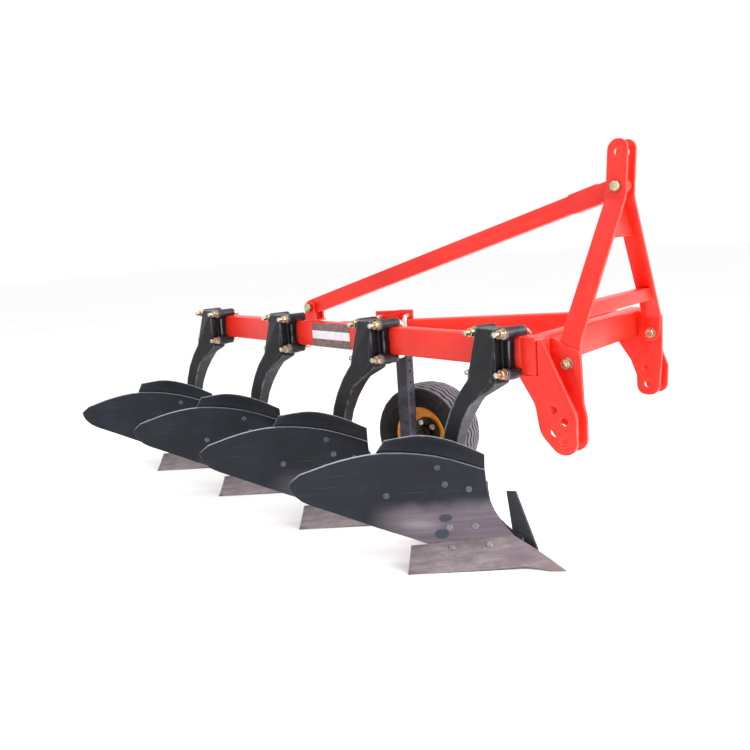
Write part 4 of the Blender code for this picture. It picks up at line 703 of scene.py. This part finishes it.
# ---------------------------------------------------------------- mast and brace bolts
FOOT = ORIGIN + Vector((0.2045, 0, 0.6245))
BAR_OUTSIDE = 0.384  # from the mast's middle plane
BAR_THICKNESS = 0.012
PLATE_THICKNESS = 0.0143  # with the gap between it and the bar
HEAD_SEAT = 0.0035  # from a face to the hexagon on its washer
for label, side in SIDES:
    inner = Vector((FOOT.x, MAST_MIDDLE_Y + side * (BAR_OUTSIDE - BAR_THICKNESS), FOOT.z))
    outer = Vector((FOOT.x, MAST_MIDDLE_Y + side * (BAR_OUTSIDE + PLATE_THICKNESS), FOOT.z))
    away = Vector((0, side, 0))
    nut_place, nut_way = (outer, away) if side < 0 else (inner, -away)
    head_place, head_way = (inner, -away) if side < 0 else (outer, away)
    fasten(MAST_WASHER, f"{label}_foot_bolt_washer", nut_place, nut_way)
    fasten(CLAMP_NUT, f"{label}_foot_bolt_nut_outer", nut_place + HEAD_SEAT * nut_way, nut_way, turn=0.3)
    if side < 0:
        fasten(MAST_THREAD, f"{label}_foot_bolt_thread", nut_place + 0.004 * nut_way, nut_way)
    fasten(MAST_WASHER, f"{label}_foot_bolt_back_washer", head_place, head_way)
    fasten(MAST_HEAD, f"{label}_foot_bolt_head", head_place + HEAD_SEAT * head_way, head_way, turn=0.2)

BRACE_FRONT_FACE = 0.0475  # half the width over the mast bars at the brace's bolt
BRACE_REAR_FACE = 0.0365
BRACE_WASHER = 0.0025
brace_pin = sum(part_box("brace_front_bolt"), Vector()) / 2
rear_pin = sum(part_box("brace_rear_bolt"), Vector()) / 2
for label, side in SIDES:
    way = Vector((0, side, 0))
    shape = MAST_HEAD if side < 0 else CLAMP_NUT
    face = Vector((brace_pin.x, MAST_MIDDLE_Y + side * BRACE_FRONT_FACE, brace_pin.z))
    fasten(CLAMP_WASHER, f"brace_front_bolt_{label}_washer", face, way, GREEN_ZINC)
    fasten(shape, f"brace_front_bolt_{label}_hex", face + BRACE_WASHER * way, way, GREEN_ZINC, 0.25)
for label, side in SIDES:
    way = Vector((0, side, 0))
    shape = MAST_HEAD if side < 0 else CLAMP_NUT
    fasten(shape, f"brace_rear_bolt_{label}_hex", rear_pin + BRACE_REAR_FACE * way, way, GREEN_ZINC, 0.4)

BRACE_LOW_END = ORIGIN + Vector((-1.086, 0.371, 0.770))
SOCKET_SIZE = (0.100, 0.047, 0.067)
SOCKET_TAPER = 0.012
SOCKET_TO_PIN = 0.118  # from its middle to the brace's front bolt


def brace_socket():
    """The deeper welded end of the brace, between the mast bars."""
    way = (brace_pin - BRACE_LOW_END).normalized()
    deselect()
    bpy.ops.mesh.primitive_cube_add(size=1, location=(0, 0, 0))
    socket = bpy.context.object
    socket.name = "brace_end_socket"
    bpy.ops.object.mode_set(mode="EDIT")
    bpy.ops.mesh.select_all(action="SELECT")
    bpy.ops.transform.resize(value=SOCKET_SIZE)
    pick_faces(socket, lambda centre, normal: normal.x < -0.9)
    bpy.ops.mesh.extrude_region_move(TRANSFORM_OT_translate={"value": (-SOCKET_TAPER, 0, 0)})
    bpy.ops.transform.resize(value=(1, 0.88, 0.92))
    bpy.ops.object.mode_set(mode="OBJECT")
    soften(socket, 0.0020)
    across = Matrix((way, Vector((0, 1, 0)), way.cross(Vector((0, 1, 0))))).transposed().to_4x4()
    middle = brace_pin - SOCKET_TO_PIN * way
    socket.data.transform(Matrix.Translation(middle) @ across)
    return dress(socket, RED, "frame")


brace_socket()


# ---------------------------------------------------------------- plough bolts on each bottom
def on_soil_face(number, along, height):
    """Where a line square to the slice meets the board or the share, and the face's outward direction."""
    start = SHARE_POINT + number * BODY_STEP + along * SLICE - RAY_START * SLICE_BACK + height * UP
    best = None
    for part in (f"mouldboard_{number + 1}", f"share_{number + 1}"):
        hit, place, normal, _ = FINISHED[part].ray_cast(start, SLICE_BACK)
        if hit and (best is None or (place - start).length < (best[0] - start).length):
            best = (place.copy(), normal.copy())
    if best and best[1].dot(SLICE_BACK) > 0:
        best = (best[0], -best[1])
    return best


RAY_START = 0.6  # how far in front of the slice face each line begins
# Along the slice from the share's point, and above the furrow bottom.
BOARD_BOLT_PLACES = ((0.392, 0.302), (0.371, 0.242), (0.295, 0.220), (0.361, 0.105), (0.279, 0.105),
                     (0.560, 0.218))
SHARE_BOLT_PLACES = ((0.355, 0.055), (0.235, 0.057))
for number in range(BODY_COUNT):
    for count, (along, height) in enumerate(BOARD_BOLT_PLACES + SHARE_BOLT_PLACES):
        found = on_soil_face(number, along, height)
        if found:
            shade = SLATE_BOLT if height > 0.2 or (number and height > 0.08) else BOLT_STEEL
            placed_copy(BOARD_BOLT, f"plough_bolt_{number + 1}_{count + 1}", found[0], found[1],
                        shade, "frame")

for piece in (CLAMP_NUT, CLAMP_WASHER, ROD_THREAD, MAST_HEAD, MAST_WASHER, MAST_THREAD, BOARD_BOLT):
    forget(piece)


# ---------------------------------------------------------------- the tyre
TREAD_STEPS = 96
ZIGZAG = 0.0040  # how far the groove walls swing to each side


def tread_tyre():
    """A ribbed implement tyre spun about the wheel's axis, with zigzag grooves between its ribs."""
    half = [(0.006, 0.2118), (0.010, 0.2065), (0.014, 0.2065), (0.018, 0.2112), (0.030, 0.2100),
            (0.034, 0.2050), (0.038, 0.2050), (0.042, 0.2086), (0.054, 0.2068), (0.058, 0.2010),
            (0.062, 0.2010), (0.066, 0.2044), (0.076, 0.2010), (0.084, 0.1950), (0.088, 0.1880),
            (0.0885, 0.1850), (0.0925, 0.1800), (0.0948, 0.1650), (0.0940, 0.1500), (0.0915, 0.1480),
            (0.0900, 0.1440), (0.0820, 0.1310), (0.0740, 0.1240), (0.0660, 0.1180), (0.0620, 0.1108)]
    outline = [(-w, r) for w, r in reversed(half)] + half
    deselect()
    bpy.ops.mesh.primitive_plane_add(size=0.001, location=WHEEL + Vector((0, outline[0][0], outline[0][1])))
    tyre = bpy.context.object
    tyre.name = "ribbed_tyre"
    bpy.ops.object.mode_set(mode="EDIT")
    bpy.ops.mesh.select_mode(type="VERT")
    bpy.ops.mesh.select_all(action="SELECT")
    bpy.ops.mesh.merge(type="CENTER")
    for before, after in zip(outline, outline[1:] + outline[:1]):
        step = (0, after[0] - before[0], after[1] - before[1])
        bpy.ops.mesh.extrude_region_move(TRANSFORM_OT_translate={"value": step})
    bpy.ops.mesh.select_all(action="SELECT")
    bpy.ops.mesh.remove_doubles(threshold=0.00001)
    bpy.ops.mesh.spin(steps=TREAD_STEPS, angle=2 * math.pi, center=WHEEL, axis=(0, 1, 0))
    bpy.ops.mesh.select_all(action="SELECT")
    bpy.ops.mesh.remove_doubles(threshold=0.00005)
    bpy.ops.mesh.normals_make_consistent(inside=False)
    bpy.ops.object.mode_set(mode="OBJECT")
    settle(tyre)
    for odd in (0, 1):
        work_on(tyre)
        bpy.ops.object.mode_set(mode="EDIT")
        bpy.ops.mesh.select_mode(type="VERT")
        bpy.ops.mesh.select_all(action="DESELECT")
        bpy.ops.object.mode_set(mode="OBJECT")
        for point in tyre.data.vertices:
            spoke = point.co - WHEEL
            turn = round(math.atan2(spoke.z, spoke.x) / (2 * math.pi / TREAD_STEPS))
            out = math.hypot(spoke.x, spoke.z)
            point.select = (turn % 4 < 2) == bool(odd) and out > 0.2015 and 0.005 < abs(spoke.y) < 0.067
        bpy.ops.object.mode_set(mode="EDIT")
        bpy.ops.transform.translate(value=(0, ZIGZAG if odd else -ZIGZAG, 0))
        bpy.ops.object.mode_set(mode="OBJECT")
    soften(tyre, 0, smooth=28)
    dress(tyre, TYRE_RUBBER, "wheel")
    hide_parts("tyre")
    return tyre


TYRE_RUBBER = tyre_rubber()
tread_tyre()


def hub_flange():
    """The hub's bolting flange: a turned disc with a raised boss."""
    deselect()
    bpy.ops.mesh.primitive_cylinder_add(vertices=40, radius=0.064, depth=0.008, location=(0, 0, 0.004))
    flange = bpy.context.object
    bpy.ops.object.mode_set(mode="EDIT")
    pick_faces(flange, lambda centre, normal: normal.z > 0.9)
    bpy.ops.mesh.inset(thickness=0.006)
    bpy.ops.transform.translate(value=(0, 0, 0.002))
    bpy.ops.mesh.inset(thickness=0.020)
    bpy.ops.transform.translate(value=(0, 0, 0.004))
    bpy.ops.object.mode_set(mode="OBJECT")
    soften(flange, 0.0010)
    return flange


FLANGE = hub_flange()
DISC_FACE = WHEEL + Vector((0, -0.0145, 0))
TOWARDS = Vector((0, -1, 0))
WHEEL_NUT_COUNT = 5
WHEEL_NUT_RING = 0.047
WHEEL_NUT_SEAT = -0.0085
placed_copy(FLANGE, "hub_flange", DISC_FACE, TOWARDS, HUB_BLACK, "wheel")
for count in range(WHEEL_NUT_COUNT):
    spoke = 2 * math.pi * count / WHEEL_NUT_COUNT + 0.62
    place = DISC_FACE + Vector((WHEEL_NUT_RING * math.cos(spoke), WHEEL_NUT_SEAT,
                                WHEEL_NUT_RING * math.sin(spoke)))
    placed_copy(WHEEL_NUT, f"wheel_nut_{count + 1}", place, TOWARDS, ZINC, "wheel", spoke)
forget(FLANGE)
forget(WHEEL_NUT)


# ---------------------------------------------------------------- blank plate on the diagonal beam
def foil_plate():
    """A thin plate on the beam's right face, near its rear end."""
    low = beam_place(-1.103, -0.0503, 0.6138)
    long, tall, thick = 0.268, 0.0970, 0.0012
    deselect()
    bpy.ops.mesh.primitive_plane_add(size=1, location=(0, 0, 0))
    plate = bpy.context.object
    plate.name = "blank_foil_plate"
    bpy.ops.object.mode_set(mode="EDIT")
    bpy.ops.mesh.select_all(action="SELECT")
    bpy.ops.transform.resize(value=(long, tall, 1))
    bpy.ops.mesh.subdivide(number_cuts=2)
    bpy.ops.mesh.extrude_region_move(TRANSFORM_OT_translate={"value": (0, 0, thick)})
    bpy.ops.object.mode_set(mode="OBJECT")
    soften(plate, 0.0004)
    across = Matrix((BEAM_FORWARD, UP, -BEAM_LEFT)).transposed().to_4x4()
    middle = low + 0.5 * long * BEAM_FORWARD + 0.5 * tall * UP
    plate.data.transform(Matrix.Translation(middle) @ across)
    finish = banded_plate_foil(low.z, low.z + tall)
    work_on(plate)
    bpy.ops.object.mode_set(mode="EDIT")
    bpy.ops.mesh.select_all(action="SELECT")
    bpy.ops.mesh.normals_make_consistent(inside=False)
    bpy.ops.object.mode_set(mode="OBJECT")
    return dress(plate, finish, "frame")


foil_plate()


# ---------------------------------------------------------------- floor, light and camera
def pale_floor():
    """A wide, nearly white studio floor."""
    deselect()
    bpy.ops.mesh.primitive_plane_add(size=60, location=(0, 0, 0))
    floor = bpy.context.object
    floor.name = "pale_floor"
    bpy.ops.object.mode_set(mode="EDIT")
    bpy.ops.mesh.subdivide(number_cuts=3)
    bpy.ops.object.mode_set(mode="OBJECT")
    finish, tree, shader, place = new_finish("pale_studio_floor", Specular_IOR_Level=0.1)
    soft = put(tree, "TexNoise", {"Vector": place, "Scale": 0.8, "Detail": 2.0})
    shade = put(tree, "ValToRGB", {"Fac": soft.outputs["Fac"]},
                stops=[(0.3, linear("#FBFBFB")), (0.7, linear("#FDFDFD"))])
    tree.links.new(shade.outputs["Color"], shader.inputs["Base Color"])
    dull = put(tree, "MapRange", {"Value": soft.outputs["Fac"], "To Min": 0.8, "To Max": 0.95})
    tree.links.new(dull.outputs[0], shader.inputs["Roughness"])
    floor.data.materials.append(finish)


pale_floor()


def soft_light(name, place, aim, size, power):
    """A square soft box that points at the plough."""
    lamp = bpy.data.lights.new(name, "AREA")
    lamp.shape = "SQUARE"
    lamp.size = size
    lamp.energy = power
    box = bpy.data.objects.new(name, lamp)
    bpy.context.scene.collection.objects.link(box)
    box.location = place
    box.rotation_euler = (Vector(aim) - Vector(place)).to_track_quat("-Z", "Y").to_euler()


soft_light("overhead_softbox", (0.3, 0.3, 4.2), (0, 0, 0.5), 3.0, 60)
soft_light("front_softbox", (4.4, 0.9, 2.4), (0.6, 0.1, 0.6), 2.4, 190)
soft_light("side_softbox", (-1.0, -4.8, 2.2), (0, 0, 0.4), 3.0, 22)

world = bpy.data.worlds.new("studio_sky")
world.use_nodes = True
world.node_tree.nodes["Background"].inputs["Color"].default_value = (1, 1, 1, 1)
world.node_tree.nodes["Background"].inputs["Strength"].default_value = 1.0
bpy.context.scene.world = world
bpy.context.scene.view_settings.view_transform = "Standard"


def plough_camera():
    """Stands right of the plough and ahead of it, at about a person's waist height."""
    yaw, down, roll = math.radians(34.979), math.radians(9.200), math.radians(-3.699)
    look = Vector((-math.sin(yaw) * math.cos(down), math.cos(yaw) * math.cos(down), -math.sin(down)))
    level = Vector((math.cos(yaw), math.sin(yaw), 0))
    rise = level.cross(look)
    right = math.cos(roll) * level + math.sin(roll) * rise
    upward = -math.sin(roll) * level + math.cos(roll) * rise
    lens = bpy.data.cameras.new("plough_camera")
    lens.sensor_width = 36
    lens.lens = 44.744
    lens.shift_x = -0.00844
    lens.shift_y = 0.01230
    lens.dof.use_dof = False
    camera = bpy.data.objects.new("plough_camera", lens)
    bpy.context.scene.collection.objects.link(camera)
    turn = Matrix((right, upward, -look)).transposed().to_4x4()
    camera.matrix_world = Matrix.Translation((2.4130, -2.8390, 1.0540)) @ turn
    bpy.context.scene.camera = camera


plough_camera()
